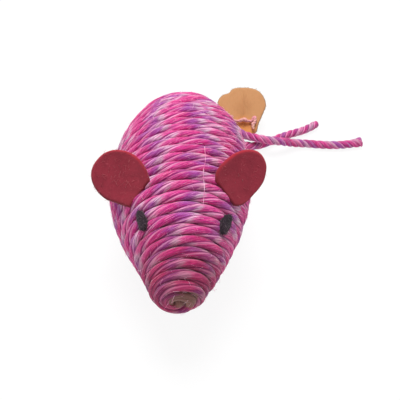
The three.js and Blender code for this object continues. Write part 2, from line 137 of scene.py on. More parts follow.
def smooth_line(points, step):
    """A centripetal Catmull-Rom line through the points, as the CAD model's cords use."""
    points = np.array([tuple(point) for point in points], float)
    padded = np.vstack([2 * points[0] - points[1], points, 2 * points[-1] - points[-2]])
    fine = []
    for before, here, there, after in zip(padded, padded[1:], padded[2:], padded[3:]):
        first, gap, last = (
            math.sqrt(np.linalg.norm(end - start))
            for start, end in ((before, here), (here, there), (there, after))
        )
        leave = ((here - before) / first - (there - before) / (first + gap)) * gap + there - here
        reach = ((after - there) / last - (after - here) / (gap + last)) * gap + there - here
        for t in np.linspace(0, 1, FINE_STEPS, endpoint=False):
            fine.append(
                (2 * t**3 - 3 * t**2 + 1) * here + (t**3 - 2 * t**2 + t) * leave
                + (3 * t**2 - 2 * t**3) * there + (t**3 - t**2) * reach
            )
    fine.append(points[-1])
    return even_points(fine, step)


def line_length(line):
    return float(np.linalg.norm(np.diff(line, axis=0), axis=1).sum())


def line_directions(line):
    slopes = np.gradient(line, axis=0)
    return slopes / np.linalg.norm(slopes, axis=1)[:, None]


def unit(vector):
    return vector / np.linalg.norm(vector)


def carried_normals(line, first):
    """Carries one sideways direction along a line without letting it spin."""
    normals = []
    normal = np.asarray(first, float)
    for direction in line_directions(line):
        normal = unit(normal - direction * normal.dot(direction))
        normals.append(normal)
    return np.array(normals)


# %% [markdown]
# ## Node helpers
# Small classes write node trees as sums. A wire wraps one socket, so that a plus or a times adds
# a Math node. A graph adds any other node with its settings and its sockets' values. The same
# helpers build the shaders and the Geometry Nodes trees.

# %% Wires, graphs and colours
def pick_socket(sockets, key):
    if isinstance(key, int):
        return sockets[key]
    for socket in sockets:
        if socket.identifier == key:
            return socket
    return sockets[key]


class Wire:
    """A socket that sums can be written with."""

    def __init__(self, graph, socket):
        self.graph = graph
        self.socket = socket

    def sum(self, operation, *others):
        values = dict(enumerate((self, *others)))
        return self.graph.node("ShaderNodeMath", {"operation": operation}, values)

    def __add__(self, other):
        return self.sum("ADD", other)

    def __sub__(self, other):
        return self.sum("SUBTRACT", other)

    def __mul__(self, other):
        return self.sum("MULTIPLY", other)

    def __truediv__(self, other):
        return self.sum("DIVIDE", other)

    def __rsub__(self, other):
        settings = {"operation": "SUBTRACT"}
        return self.graph.node("ShaderNodeMath", settings, {0: other, 1: self})

    def part(self, axis):
        return self.graph.node("ShaderNodeSeparateXYZ", {}, {0: self}, axis)


class Graph:
    """A node tree that is written with short calls."""

    def __init__(self, tree):
        self.tree = tree

    def node(self, kind, settings=None, values=None, output=0):
        node = self.tree.nodes.new(kind)
        for name, setting in (settings or {}).items():
            if name == "stops":
                set_stops(node.color_ramp, setting)
            else:
                setattr(node, name, setting)
        for key, value in (values or {}).items():
            socket = pick_socket(node.inputs, key)
            if isinstance(value, Wire):
                self.tree.links.new(value.socket, socket)
            else:
                socket.default_value = value
        return Wire(self, pick_socket(node.outputs, output))

    def vector(self, x, y, z):
        return self.node("ShaderNodeCombineXYZ", {}, {0: x, 1: y, 2: z})

    def vectors(self, operation, first, second, output=0):
        settings = {"operation": operation}
        return self.node("ShaderNodeVectorMath", settings, {0: first, 1: second}, output)


def set_stops(ramp, stops):
    while len(ramp.elements) < len(stops):
        ramp.elements.new(1)
    for element, (place, levels) in zip(ramp.elements, stops):
        element.position = place
        element.color = shade(levels)


def shade(levels):
    """The linear values of a colour that is written as in a paint program, 0 to 255."""
    shares = [level / 255 for level in levels]
    linear = [s / 12.92 if s <= 0.04045 else ((s + 0.055) / 1.055) ** 2.4 for s in shares]
    return (*linear, 1)


COTTON = {"Sheen_Weight": 0.2, "Sheen_Roughness": 0.5, "Specular_IOR_Level": 0.2}
SOFT = {"Sheen_Weight": 0.1, "Sheen_Roughness": 0.6, "Specular_IOR_Level": 0.1}


class Finish(Graph):
    """A material whose Principled shader is painted through the graph."""

    def __init__(self, name, **constants):
        self.material = bpy.data.materials.new(name)
        self.material.use_nodes = True
        super().__init__(self.material.node_tree)
        self.shader = self.tree.nodes["Principled BSDF"]
        for socket, value in constants.items():
            self.shader.inputs[socket.replace("_", " ")].default_value = value

    def attribute(self, name, output="Fac"):
        return self.node("ShaderNodeAttribute", {"attribute_name": name}, output=output)

    def place(self):
        return self.node("ShaderNodeTexCoord", output="Object")

    def noise(self, where, scale, detail=2, roughness=0.5):
        """Noise of one scale, or of a scale for each axis."""
        if isinstance(scale, tuple):
            where = self.vectors("MULTIPLY", where, scale)
            scale = 1
        values = {"Vector": where, "Scale": scale, "Detail": detail, "Roughness": roughness}
        return self.node("ShaderNodeTexNoise", {}, values)

    def mix(self, factor, first, second, blend="MIX"):
        """Mixes two colours, each a wire or three numbers from 0 to 255."""
        first, second = (c if isinstance(c, Wire) else shade(c) for c in (first, second))
        settings = {"data_type": "RGBA", "blend_type": blend}
        values = {"Factor_Float": factor, "A_Color": first, "B_Color": second}
        return self.node("ShaderNodeMix", settings, values, "Result_Color")

    def covered(self, colour, layers):
        """Lays shades over a colour: each has a mask, a strength and the shade itself."""
        for mask, strength, over in layers:
            colour = self.mix(mask * strength, colour, over)
        return colour

    def ramp(self, factor, stops):
        return self.node("ShaderNodeValToRGB", {"stops": stops}, {0: factor})

    def band(self, value, low, high):
        """0 below low, 1 above high and smooth between them."""
        settings = {"interpolation_type": "SMOOTHSTEP"}
        return self.node("ShaderNodeMapRange", settings, {0: value, 1: low, 2: high})

    def paint(self, base, roughness, height, depth):
        """Joins the colour, the roughness and a bump that is depth metres deep."""
        bump = self.node("ShaderNodeBump", {}, {"Height": height, "Distance": depth}, "Normal")
        for socket, wire in (("Base Color", base), ("Roughness", roughness), ("Normal", bump)):
            self.tree.links.new(wire.socket, self.shader.inputs[socket])
        return self.material


# %% [markdown]
# ## The rope's colour
# The cotton is dyed in patches before it is twisted, so each strand goes from white to pink,
# magenta and purple along its own length. One colour for each strand would look like a candy cane.
# The dye therefore runs along the strands, and each of the three is a step further on: a third of
# the pattern on the tail, and less on the body. Single yarns change colour sooner or later, which
# leaves streaks, and finer yarns stand out as light and dark specks. Over the dye lies painted
# light: a painted highlight along one edge of each strand, and painted shade in the ply grooves,
# in the creases between strands and between turns, and on the nose.

# %% Rope material
STRANDS = 3
PLIES = 4
DYE_STOPS = [
    (0.00, (196, 130, 184)), (0.04, (226, 184, 210)), (0.13, (230, 188, 212)), (0.18, (240, 130, 184)),
    (0.25, (232, 78, 156)), (0.45, (232, 54, 148)), (0.60, (216, 44, 130)), (0.70, (198, 46, 144)),
    (0.78, (166, 56, 150)), (0.88, (178, 90, 180)), (0.94, (162, 66, 152)), (1.00, (196, 130, 184)),
]
RED_PATCH = (210, 40, 92)
# Pale yarn specks, and the painted highlight along one edge of each strand.
PALE_YARN_AND_HIGHLIGHT = (252, 172, 214)
DARK_YARN = (146, 30, 108)
PLY_GROOVE_SHADE = (156, 30, 112)
CREASE_SHADE = (136, 22, 102)
TUCKED_SHADE = (150, 32, 110)
# Painted shade at the nose: a darker, redder multiply tint on the body rope's first turns.
NOSE_SHADE_TINT = (206, 162, 174)
NOSE_SHADE_REACH = (100 * MM, 460 * MM)
# Painted shade: an olive-brown patch over the white rope in the middle of the nose coil.
NOSE_SHADE_PATCH = (128, 90, 74)
PATCH_MIDDLE = (1.9 * MM, 0, 26.6 * MM)
PATCH_SCALE = (1 / (5 * MM), 0, 1 / (3.9 * MM))
PATCH_REACH = (60 * MM, 75 * MM)
ROPE_BUMP = 0.6 * MM


def rope_material():
    finish = Finish("dyed_cotton_rope", **COTTON)
    section = finish.attribute("section", "Vector")
    along = finish.attribute("along")
    crowding = finish.attribute("crowding")
    round_x = section.part(0)
    round_y = section.part(1)

    def yarns(across, lengthwise, detail=2, start=0.0):
        """Noise whose streaks run along the strands."""
        place = finish.vector(round_x * across, round_y * across, along * lengthwise + start)
        return finish.noise(place, 1.0, detail)

    strand = (round_y.sum("ARCTAN2", round_x) / (2 * math.pi) + 1).sum("FRACT") * STRANDS
    within = strand.sum("FRACT")
    streaks = yarns(5, 130, 3)
    drift = yarns(0.8, 60)
    fine = yarns(11, 240, start=2.0)
    specks = yarns(16, 620, start=7.0)
    tone = fine * 0.5 + specks * 0.5
    dye = finish.attribute("dye") + strand.sum("FLOOR") * finish.attribute("dye_step")
    share = (dye + (streaks - 0.5) * 0.4 + (drift - 0.5) * 0.6 + 1).sum("FRACT")
    # A stripe along one side of each strand: a painted highlight, where that edge would catch the light.
    edge = finish.band(within, 0.05, 0.12) * (1 - finish.band(within, 0.2, 0.32))
    ply = (strand * PLIES + (drift - 0.5) * 1.5).sum("FRACT")
    # Near the edges of the plies: sets the bump and the painted shade in the grooves.
    groove = 1 - finish.band(ply.sum("MINIMUM", 1 - ply), 0.0, 0.22)
    tucked = (1 - finish.band(finish.attribute("open_face"), 0.1, 0.62)) * crowding
    laid = finish.covered(finish.ramp(share, DYE_STOPS), [
        (finish.band(yarns(0.8, 45, start=4.0), 0.5, 0.64), 0.35, RED_PATCH),
        (finish.band(tone, 0.54, 0.6), 0.65, PALE_YARN_AND_HIGHLIGHT),
        (1 - finish.band(tone, 0.42, 0.5), 0.7, DARK_YARN),
        # Painted highlight along one edge of each strand.
        (edge * finish.band(streaks, 0.38, 0.55), 0.8, PALE_YARN_AND_HIGHLIGHT),
        # Painted shade in the grooves between plies.
        (groove * finish.band(streaks, 0.35, 0.55), 0.5, PLY_GROOVE_SHADE),
        # Painted shade in the creases between strands.
        (1 - finish.band(within.sum("MINIMUM", 1 - within), 0.0, 0.13), 0.8, CREASE_SHADE),
        (tucked, 0.4, TUCKED_SHADE),
    ])
    # Painted shade: the body rope is darkened near the nose, fading out between 100 and 460 mm along it.
    nose_shade = (1 - finish.band(along, *NOSE_SHADE_REACH)) * crowding
    nose_shaded = finish.mix(nose_shade, laid, NOSE_SHADE_TINT, "MULTIPLY")
    # Painted shade: an oval patch, ragged by the streaks, on the rope's first turns at the nose.
    from_middle = finish.vectors("SUBTRACT", finish.place(), PATCH_MIDDLE)
    scaled = finish.vectors("MULTIPLY", from_middle, PATCH_SCALE)
    reach = finish.vectors("LENGTH", scaled, (0, 0, 0), "Value")
    nose_shade_smear = 1 - finish.band(reach + (streaks - 0.5) * 0.9, 0.8, 1.05)
    first_turns = (1 - finish.band(along, *PATCH_REACH)) * crowding
    with_nose_shade_patch = finish.covered(nose_shaded, [(nose_shade_smear * first_turns, 0.85, NOSE_SHADE_PATCH)])
    height = fine * 0.3 + specks * 0.25 + streaks * 0.4 - groove * 0.2
    return finish.paint(with_nose_shade_patch, fine * 0.2 + 0.7, height, ROPE_BUMP)


rope_finish = rope_material()
print("rope colours:", len(DYE_STOPS))

# %% [markdown]
# ## The rope's shape
# A laid rope is three strands twisted together. A plain round tube would look like a hose, so the
# tube's section has three equal rounded lobes with creases between them. Geometry Nodes sweeps
# that section along the line and turns it by the twist that each point of the line carries. The
# section's angle is stored for the colour.

# %% Geometry Nodes tree for a rope
LOBE_SHARES = (0, 1 / 3, 2 / 3, 1)
THREAD_LOBE_SHARES = (0, 0.34, 0.67, 1)
CROWN_POWER = 0.6
DYE_LENGTH = 26 * MM
SECTION_POINTS = 18
FLOOR_CLEARANCE = 0.02 * MM


class Shape(Graph):
    """A Geometry Nodes tree, with the name and the kind of each input."""

    def __init__(self, name, **kinds):
        super().__init__(bpy.data.node_groups.new(name, "GeometryNodeTree"))
        new_socket = self.tree.interface.new_socket
        for title, kind in {"Geometry": "Geometry", **kinds}.items():
            new_socket(title.replace("_", " "), in_out="INPUT", socket_type="NodeSocket" + kind)
        new_socket("Geometry", in_out="OUTPUT", socket_type="NodeSocketGeometry")
        group = self.node("NodeGroupInput").socket.node
        self.inputs = {item.name: Wire(self, item) for item in group.outputs}

    def field(self, name, kind="FLOAT"):
        """A named attribute of the geometry that the tree gets."""
        return self.node("GeometryNodeInputNamedAttribute", {"data_type": kind}, {"Name": name})

    def circle(self, corners, radius):
        values = {"Resolution": corners, "Radius": radius}
        return self.node("GeometryNodeCurvePrimitiveCircle", {"mode": "RADIUS"}, values)

    def tube(self, line, section, scale=1.0):
        values = {"Curve": line, "Profile Curve": section, "Scale": scale, "Fill Caps": True}
        return self.node("GeometryNodeCurveToMesh", {}, values)

    def marked(self, geometry, name, value):
        """Stores one number for each point."""
        settings = {"data_type": "FLOAT", "domain": "POINT"}
        values = {"Geometry": geometry, "Name": name, "Value": value}
        return self.node("GeometryNodeStoreNamedAttribute", settings, values)

    def placed(self, points, item, turn, size):
        """Puts a copy of one item on every point."""
        values = {"Points": points, "Instance": item, "Rotation": turn, "Scale": size}
        return self.node("GeometryNodeInstanceOnPoints", {}, values)

    def off_floor(self, geometry):
        """Lifts whatever would sink into the floor."""
        where = self.node("GeometryNodeInputPosition")
        height = where.part(2).sum("MAXIMUM", self.inputs["Floor Height"])
        resting = self.vector(where.part(0), where.part(1), height)
        values = {"Geometry": geometry, "Position": resting}
        return self.node("GeometryNodeSetPosition", {}, values)

    def closed(self, geometry):
        """Every tree ends in Realize Instances and Set Material."""
        real = self.node("GeometryNodeRealizeInstances", {}, {"Geometry": geometry})
        values = {"Geometry": real, "Material": self.inputs["Material"]}
        dressed = self.node("GeometryNodeSetMaterial", {}, values)
        output = self.tree.nodes.new("NodeGroupOutput")
        self.tree.links.new(dressed.socket, output.inputs["Geometry"])
        return self.tree


def rope_tree():
    shape = Shape(
        "laid_rope", Section="Object", Rope_Radius="Float", Floor_Height="Float", Material="Material"
    )
    line = shape.node("GeometryNodeMeshToCurve", {}, {"Mesh": shape.inputs["Geometry"]})
    outward = shape.field("outward", "FLOAT_VECTOR")
    values = {"Curve": line, "Normal": outward}
    turned = shape.node("GeometryNodeSetCurveNormal", {"mode": "FREE"}, values)
    values = {"Curve": turned, "Tilt": shape.field("twist")}
    tilted = shape.node("GeometryNodeSetCurveTilt", {}, values)
    ring = shape.node("GeometryNodeObjectInfo", {}, {"Object": shape.inputs["Section"]}, "Geometry")
    section = shape.node("GeometryNodeMeshToCurve", {}, {"Mesh": ring})
    tube = shape.tube(tilted, section, shape.field("swell") * shape.inputs["Rope Radius"])
    laid = shape.off_floor(tube)
    facing = shape.vectors("DOT_PRODUCT", shape.node("GeometryNodeInputNormal"), outward, "Value")
    faced = shape.marked(laid, "open_face", facing.sum("ABSOLUTE"))
    return shape.closed(shape.node("GeometryNodeSetShadeSmooth", {}, {0: faced}))


def mesh_object(name, points, edges=(), faces=(), **layers):
    """A new mesh, with one number or one vector stored for each point in each layer."""
    mesh = bpy.data.meshes.new(name)
    mesh.from_pydata(np.asarray(points).tolist(), edges, faces)
    for layer, values in layers.items():
        values = np.asarray(values, float)
        if values.ndim == 0:
            values = np.full(len(mesh.vertices), values)
        kind, field = ("FLOAT", "value") if values.ndim == 1 else ("FLOAT_VECTOR", "vector")
        mesh.attributes.new(layer, kind, "POINT").data.foreach_set(field, values.ravel())
    return new_object(name, mesh)


def section_ring(name, lobe_shares, crease_depth):
    """The rope's section: a ring of unit size with a rounded lobe for each strand."""
    shares = np.arange(SECTION_POINTS) / SECTION_POINTS
    lobe = np.searchsorted(lobe_shares, shares, side="right") - 1
    starts = np.array(lobe_shares)[lobe]
    ends = np.array(lobe_shares)[lobe + 1]
    crown = np.sin(np.pi * (shares - starts) / (ends - starts)) ** CROWN_POWER
    radii = 1 - crease_depth * (1 - crown)
    cosine, sine = np.cos(2 * np.pi * shares), np.sin(2 * np.pi * shares)
    points = np.column_stack([radii * cosine, radii * sine, 0 * shares])
    edges = [(i, (i + 1) % SECTION_POINTS) for i in range(SECTION_POINTS)]
    return mesh_object(name, points, edges, section=np.column_stack([cosine, sine, crown]))


def apply_tree(piece, tree, **sizes):
    """Runs a tree on a piece and keeps the result as a plain mesh."""
    modifier = piece.modifiers.new(tree.name, "NODES")
    modifier.node_group = tree
    for item in tree.interface.items_tree:
        key = item.name.replace(" ", "_").lower()
        if item.in_out == "INPUT" and key in sizes:
            modifier[item.identifier] = sizes[key]
    depsgraph = bpy.context.evaluated_depsgraph_get()
    evaluated = piece.evaluated_get(depsgraph)
    mesh = bpy.data.meshes.new_from_object(
        evaluated, preserve_all_data_layers=True, depsgraph=depsgraph
    )
    piece.modifiers.remove(modifier)
    piece.data = mesh
    mesh.name = piece.name
    if signed_volume(mesh) < 0:
        mesh.flip_normals()
    return piece


def signed_volume(mesh):
    mesh.calc_loop_triangles()
    corners = np.zeros(len(mesh.vertices) * 3)
    mesh.vertices.foreach_get("co", corners)
    triangles = np.zeros(len(mesh.loop_triangles) * 3, int)
    mesh.loop_triangles.foreach_get("vertices", triangles)
    a, b, c = corners.reshape(-1, 3)[triangles.reshape(-1, 3)].transpose(1, 0, 2)
    return float(np.einsum("ij,ij->i", a, np.cross(b, c)).sum() / 6)


laid_rope = rope_tree()
rope_section = section_ring("rope_section", LOBE_SHARES, 0.22)
thread_section = section_ring("thread_section", THREAD_LOBE_SHARES, 0.28)
plain_section = section_ring("plain_section", (0, 1), 0)


def make_rope(name, line, normals, twist, swell, radius, material, section, **layers):
    """Builds a rope, thread or quill. One direction given as normals is carried along the line."""
    if np.ndim(normals) == 1:
        normals = carried_normals(line, normals)
    along = reach_along(line)
    plain = {
        "outward": normals, "twist": twist, "swell": swell, "crowding": 0, "along": along,
        "dye": along / DYE_LENGTH, "dye_step": 1 / STRANDS,
    }
    edges = [(i, i + 1) for i in range(len(line) - 1)]
    piece = mesh_object(name, line, edges, **{**plain, **layers})
    apply_tree(
        piece, laid_rope, section=section, rope_radius=radius, floor_height=FLOOR_CLEARANCE,
        material=material,
    )
    print(f"{name}: {along[-1] / MM:.0f} mm long, {len(piece.data.polygons)} faces")
    return piece


# %% [markdown]
# ## Tail ropes
# The tail is two ends of rope. The long one leaves the core on its axis and comes round to +X in
# one long curve, and its cut end flares. The short one is the free end of the rope that the body
# is wound from, so its strands go on from there. Both lie on the floor, and the long one passes
# over the short one in a low hump. Their points are those of the CAD model.

# %% Routes of the two tail ropes
# Each point is how many mm to +X, how many mm behind the body, the share of the way up from the
# floor to the body's axis, and how many ropes it lies on, if any.
LONG_TAIL_ROUTE = [
    [-0.3, 9.3, 0.913], [-1.2, 12.7, 0.706], [0.1, 14.7, 0.559], [3.6, 16.5, 0.45],
    [12.5, 16.9, 0.341], [17.1, 14.7, 0.265], [22.2, 10.9, 0.185], [26, 8.4, 0.127, 0.04],
    [30.1, 6.2, 0.076, 0.5], [33.6, 4.8, 0.02, 1], [37.6, 4.1, 0, 1.1], [42.5, 5, 0, 0.85],
    [46.7, 6.5, 0, 0.4], [50.5, 7.6, 0, 0.1], [54.5, 8.1, 0], [61, 8, 0], [68.5, 8.5, 0],
    [74.4, 9.9, 0], [78, 11.1, 0],
]
SHORT_TAIL_ROUTE = [
    [4.5, 9.9, 0.842], [6.2, 12.4, 0.757], [9, 13.8, 0.611], [12.9, 12.8, 0.417],
    [15.1, 11.4, 0.291], [18.3, 8.8, 0.14], [21.7, 6.8, 0.054], [26, 5.1, 0.01],
    [30, 4.6, 0], [33.4, 5.3, 0], [36.5, 6.9, 0], [39.8, 9, 0], [43.6, 11.3, 0],
    [47.8, 13.5, 0], [53, 16, 0], [57, 18.7, 0], [60.5, 21.7, 0],
]
TAIL_REST_HEIGHT = ROPE_RADIUS + 0.1 * MM
TAIL_STRAIGHT = 1.2 * MM
TAIL_LAY = 9.1 * MM
RING_STEP = 0.65 * MM
LONG_START = np.array([0, 36.2, 24.69]) * MM
BODY_ROPE_END = np.array([3.837, 48.1, 21.945]) * MM
SHORT_START = BODY_ROPE_END + [0, TOUCH_GAP, 0]


def tail_point(right_mm, behind_mm, up_share, ropes_below=0):
    height = TAIL_REST_HEIGHT + (AXIS_HEIGHT - TAIL_REST_HEIGHT) * up_share
    height += ropes_below * (2 * ROPE_RADIUS + TOUCH_GAP)
    return np.array([right_mm * MM, NOSE_Y + BODY_LENGTH + behind_mm * MM, height])


long_straight_end = np.array([0, BODY_ROPE_END[1], AXIS_HEIGHT])
long_line = smooth_line(
    [LONG_START, (LONG_START + long_straight_end) / 2, long_straight_end]
    + [tail_point(*place) for place in LONG_TAIL_ROUTE],
    RING_STEP,
)
short_line = smooth_line(
    [SHORT_START, SHORT_START + [0, TAIL_STRAIGHT, 0]]
    + [tail_point(*place) for place in SHORT_TAIL_ROUTE],
    RING_STEP,
)
print("tail ropes, mm:", round(line_length(long_line) / MM), round(line_length(short_line) / MM))


# %% [markdown]
# ## The wound body
# One rope of about 3.2 m makes the whole body. It starts straight in the core's nose, curls out
# into a flat spiral, follows the outline of a teardrop turn by turn, and bends out at the rear.
# A formula gives its line: the outline is a curve, and the rope runs along it while it goes round.
# Slow noise moves the turns a little, because hand-wound rope is never quite even.

# %% The body's outline
OUTLINE = smooth_line(
    [(along * BODY_LENGTH, radius * GIRTH_RADIUS) for along, radius in BODY_OUTLINE_SHARES],
    0.25 * MM,
)
OUTLINE_PLACES = np.linspace(0, 1, len(OUTLINE))
OUTLINE_SLOPES = line_directions(OUTLINE)
# Shares of the way along the body, and how many mm the body leans to the side there.
SWAY_MM = [(0, 0.07, 0.16, 0.25, 0.4, 0.6, 0.75, 1), (-0.3, 0.1, 0.5, -0.1, -0.5, 0, 0.3, 0)]


def outline_at(share):
    columns = np.column_stack([OUTLINE, OUTLINE_SLOPES]).T
    return [np.interp(share, OUTLINE_PLACES, column) for column in columns]


def sway(share):
    """The body isn't quite straight: it leans a little to one side and back."""
    return np.interp(share, *SWAY_MM) * MM


def stacked(x, y, z):
    """Points or directions from their three coordinates."""
    return np.stack(np.broadcast_arrays(x, y, z), axis=-1)


def body_point(share, angle, offset=0.0):
    along, radius, along_slope, radius_slope = outline_at(share)
    out = radius + offset * along_slope
    behind = along - offset * radius_slope
    return stacked(
        sway(share) + out * np.sin(angle), NOSE_Y + behind, AXIS_HEIGHT + out * np.cos(angle)
    )


def body_normal(share, angle):
    along_slope, radius_slope = outline_at(share)[2:]
    return stacked(along_slope * np.sin(angle), -radius_slope, along_slope * np.cos(angle))


def share_along(along_share):
    return np.interp(along_share * BODY_LENGTH, OUTLINE[:, 0], OUTLINE_PLACES)


outline_length = line_length(OUTLINE)
rear_share = 1 - REAR_LEFT / outline_length
print(f"outline {outline_length / MM:.1f} mm")

# %% The rope's line round the body
TURN_PITCH = 3.33 * MM
WOUND_RADIUS = 1.9 * MM
BORE_DEPTH = 5.4 * MM
REAR_BEND = 2.4 * MM
POINTS_IN_A_TURN = 120
# The lean and the wander rise over a sixth of the way and end over a twelfth.
NOSE_EASE = 6
REAR_EASE = 12
# How often a turn's wander changes, its seed and how many mm it moves the rope.
OUT_WANDER = (11 * MM, 3, 0.14)
ALONG_WANDER = (14 * MM, 4, 0.16)
# Shares of the way along the body, and the degrees that the turns lean there.
YAW_DEGREES = [(0, 0.12, 0.45, 0.7, 1), (2, 4, 4, 3, 0)]
PITCH_DEGREES = [(0, 0.35, 0.7, 1), (0, 6, 5, 0)]


def slow_noise(reach, every, seed):
    """Smooth random values from -1 to 1 along a line, with a knot every so far."""
    knots = np.random.default_rng(seed).uniform(-1, 1, int(reach[-1] / every) + 3)
    place = reach / every
    step = place.astype(int)
    blend = place - step
    blend = blend * blend * (3 - 2 * blend)
    return knots[step] * (1 - blend) + knots[step + 1] * blend


def wander(reach, every, seed, far_mm):
    return slow_noise(reach, every, seed) * far_mm * MM


def bezier(points, count):
    a, b, c, d = (np.asarray(point, float) for point in points)
    t = np.linspace(0, 1, count, endpoint=False)[:, None]
    return a * (1 - t) ** 3 + 3 * b * t * (1 - t) ** 2 + 3 * c * t**2 * (1 - t) + d * t**3


def lean_at(share, degrees):
    """How far the turns lean, as a slope."""
    return np.tan(np.radians(np.interp(share, *degrees)))


def winding_line():
    turns = outline_length * rear_share / TURN_PITCH
    t = np.linspace(0, 1, int(turns * POINTS_IN_A_TURN))
    angle = REAR_ANGLE + 2 * np.pi * turns * (t - 1)
    share = rear_share * t
    radius = outline_at(share)[1]
    edge = np.minimum(np.clip(t * NOSE_EASE, 0, 1), np.clip((1 - t) * REAR_EASE, 0, 1))
    yaw = lean_at(share, YAW_DEGREES) * np.sin(angle)
    pitch = lean_at(share, PITCH_DEGREES) * np.cos(angle)
    share = share + edge * radius * (yaw + pitch) / outline_length
    line = body_point(share, angle, ROPE_RADIUS - WOUND_RADIUS)
    normals = body_normal(share, angle)
    reach = reach_along(line)
    line = line + normals * (wander(reach, *OUT_WANDER) * edge)[:, None]
    line[:, 1] += wander(reach, *ALONG_WANDER) * edge
    return line, normals, turns


def wound_rope():
    """The whole line with its two ends, and the direction that points out of the body."""
    line, normals, turns = winding_line()
    start = unit(line[1] - line[0])
    axis_point = np.array([sway(0), NOSE_Y, AXIS_HEIGHT])
    lead = bezier([
        axis_point + [0, BORE_DEPTH, 0], axis_point + [0, ROPE_RADIUS / 2, 0],
        line[0] - start * ROPE_RADIUS, line[0],
    ], 16)
    end = unit((line[-1] - line[-2]) * [1, 0, 1])
    bend = np.linspace(0, np.pi / 2, 9)[1:, None]
    back = np.array([0, 1, 0])
    rear = line[-1] + end * REAR_BEND * np.sin(bend) + back * REAR_BEND * (1 - np.cos(bend))
    rear = np.vstack([rear, [BODY_ROPE_END]])
    fade_in = np.linspace(0, 1, len(lead), endpoint=False)[:, None]
    fade_out = np.linspace(0, 1, len(rear) + 1)[1:, None]
    whole = np.vstack([lead, line, rear])
    outward = np.vstack([
        -start * (1 - fade_in) + normals[0] * fade_in,
        normals,
        normals[-1] * (1 - fade_out) - end * fade_out,
    ])
    even = even_points(np.hstack([whole, outward]), RING_STEP)
    print(f"body rope: {turns:.1f} turns, {line_length(even[:, :3]) / 1000 / MM:.2f} m")
    return even[:, :3], even[:, 3:]


# %% Twist of the strands
# Distances from the body's axis, and the length of one turn of a strand there, in mm.
LAY_MM = [(5, 9, 13, 20), (80, 48, 33, 28)]
BODY_HAND = -1
LONG_HAND = 1
DYE_PERIOD = 15.5 * MM
DYE_SHIFT = 0.5
DYE_STEP = 0.14
# Metres of rope, and how far the dye drifts there: it is loose on the head only.
LOOSE_DYE = [(0.9, 1.5), (0.4, 0.08)]
DRIFT_EVERY = 60 * MM
DRIFT_SEED = 8


def twist_along(line, lays, start=0.0):
    """The angle that the strands have turned at each point of a line."""
    gaps = np.linalg.norm(np.diff(line, axis=0), axis=1)
    lays = np.broadcast_to(lays, len(line))
    middle = (lays[1:] + lays[:-1]) / 2
    return start + 2 * np.pi * np.concatenate([[0], np.cumsum(gaps / middle)])


def whole_per_turn(round_turn, spacing, strands=1):
    """The nearest spacing that fits a whole number of times into each turn, so that turns nest."""
    count = np.maximum(np.round(strands * round_turn / spacing), 1)
    return np.maximum(strands * round_turn / count, spacing / 2)


body_line, body_outward = wound_rope()
from_axis = np.linalg.norm(body_line[:, [0, 2]] - [0, AXIS_HEIGHT], axis=1)
free_lays = np.interp(from_axis / MM, *LAY_MM) * MM
body_lays = whole_per_turn(2 * np.pi * from_axis, free_lays, STRANDS)
body_dyes = whole_per_turn(2 * np.pi * from_axis, DYE_PERIOD)
body_twist = twist_along(body_line, body_lays)
body_reach = reach_along(body_line)
dye_drift = slow_noise(body_reach, DRIFT_EVERY, DRIFT_SEED) * np.interp(body_reach, *LOOSE_DYE)
body_dye = twist_along(body_line, body_dyes) / (2 * np.pi) + DYE_SHIFT + dye_drift
body_winding = make_rope(
    "wound_rope", body_line, body_outward, BODY_HAND * body_twist, 1.0, WOUND_RADIUS, rope_finish,
    rope_section, crowding=1, dye=body_dye, dye_step=DYE_STEP,
)

# %% Tail ropes
END_FLARE = 0.28
FLARE_LENGTH = 5 * MM
FLARE_POWER = 1.5
ROUND_LENGTH = 2.2 * MM
ROUND_POWER = 2.4
END_AREA = 0.08
SQUEEZE = 0.044
SQUEEZE_LENGTH = 8 * MM


def tail_rope(name, line, first_normal, hand, start, swell):
    twist = hand * twist_along(line, TAIL_LAY, start)
    return make_rope(name, line, first_normal, twist, swell, ROPE_RADIUS, rope_finish, rope_section)


def to_end(line, stretch):
    """0 along a line, rising to 1 over its last stretch."""
    left = np.linspace(line_length(line), 0, len(line))
    return np.clip(1 - left / stretch, 0, 1)


long_swell = 1 + END_FLARE * to_end(long_line, FLARE_LENGTH) ** FLARE_POWER
short_swell = np.sqrt(np.clip(1 - to_end(short_line, ROUND_LENGTH) ** ROUND_POWER, END_AREA, 1))
short_swell *= 1 - SQUEEZE * (1 - to_end(short_line[::-1], SQUEEZE_LENGTH)[::-1])
tail_long = tail_rope("tail_rope_long", long_line, (0, 0, 1), LONG_HAND, 0.0, long_swell)
tail_short = tail_rope(
    "tail_rope_short", short_line, body_outward[-1], BODY_HAND, body_twist[-1], short_swell
)

# %% [markdown]
# ## Core and knot
# The rope is wound on a hollow plastic core in two halves, which the CAD model gives. They only
# need their finish: pale moulded plastic with a soft mottle. Inside, the long tail rope ends in
# an overhand knot, made here from the same rope along a trefoil line.

# %% Core finish
def core_material():
    finish = Finish("moulded_plastic", Specular_IOR_Level=0.4)
    place = finish.place()
    mottle = finish.noise(place, 90, 3)
    grain = finish.noise(place, 900, 2)
    base = finish.mix(mottle, (196, 172, 136), (206, 184, 150))
    return finish.paint(base, mottle * 0.15 + 0.5, grain, 0.03 * MM)


core_finish = core_material()
for node in ("core_front", "core_rear"):
    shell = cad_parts[node]
    shell.data.materials.clear()
    shell.data.materials.append(core_finish)

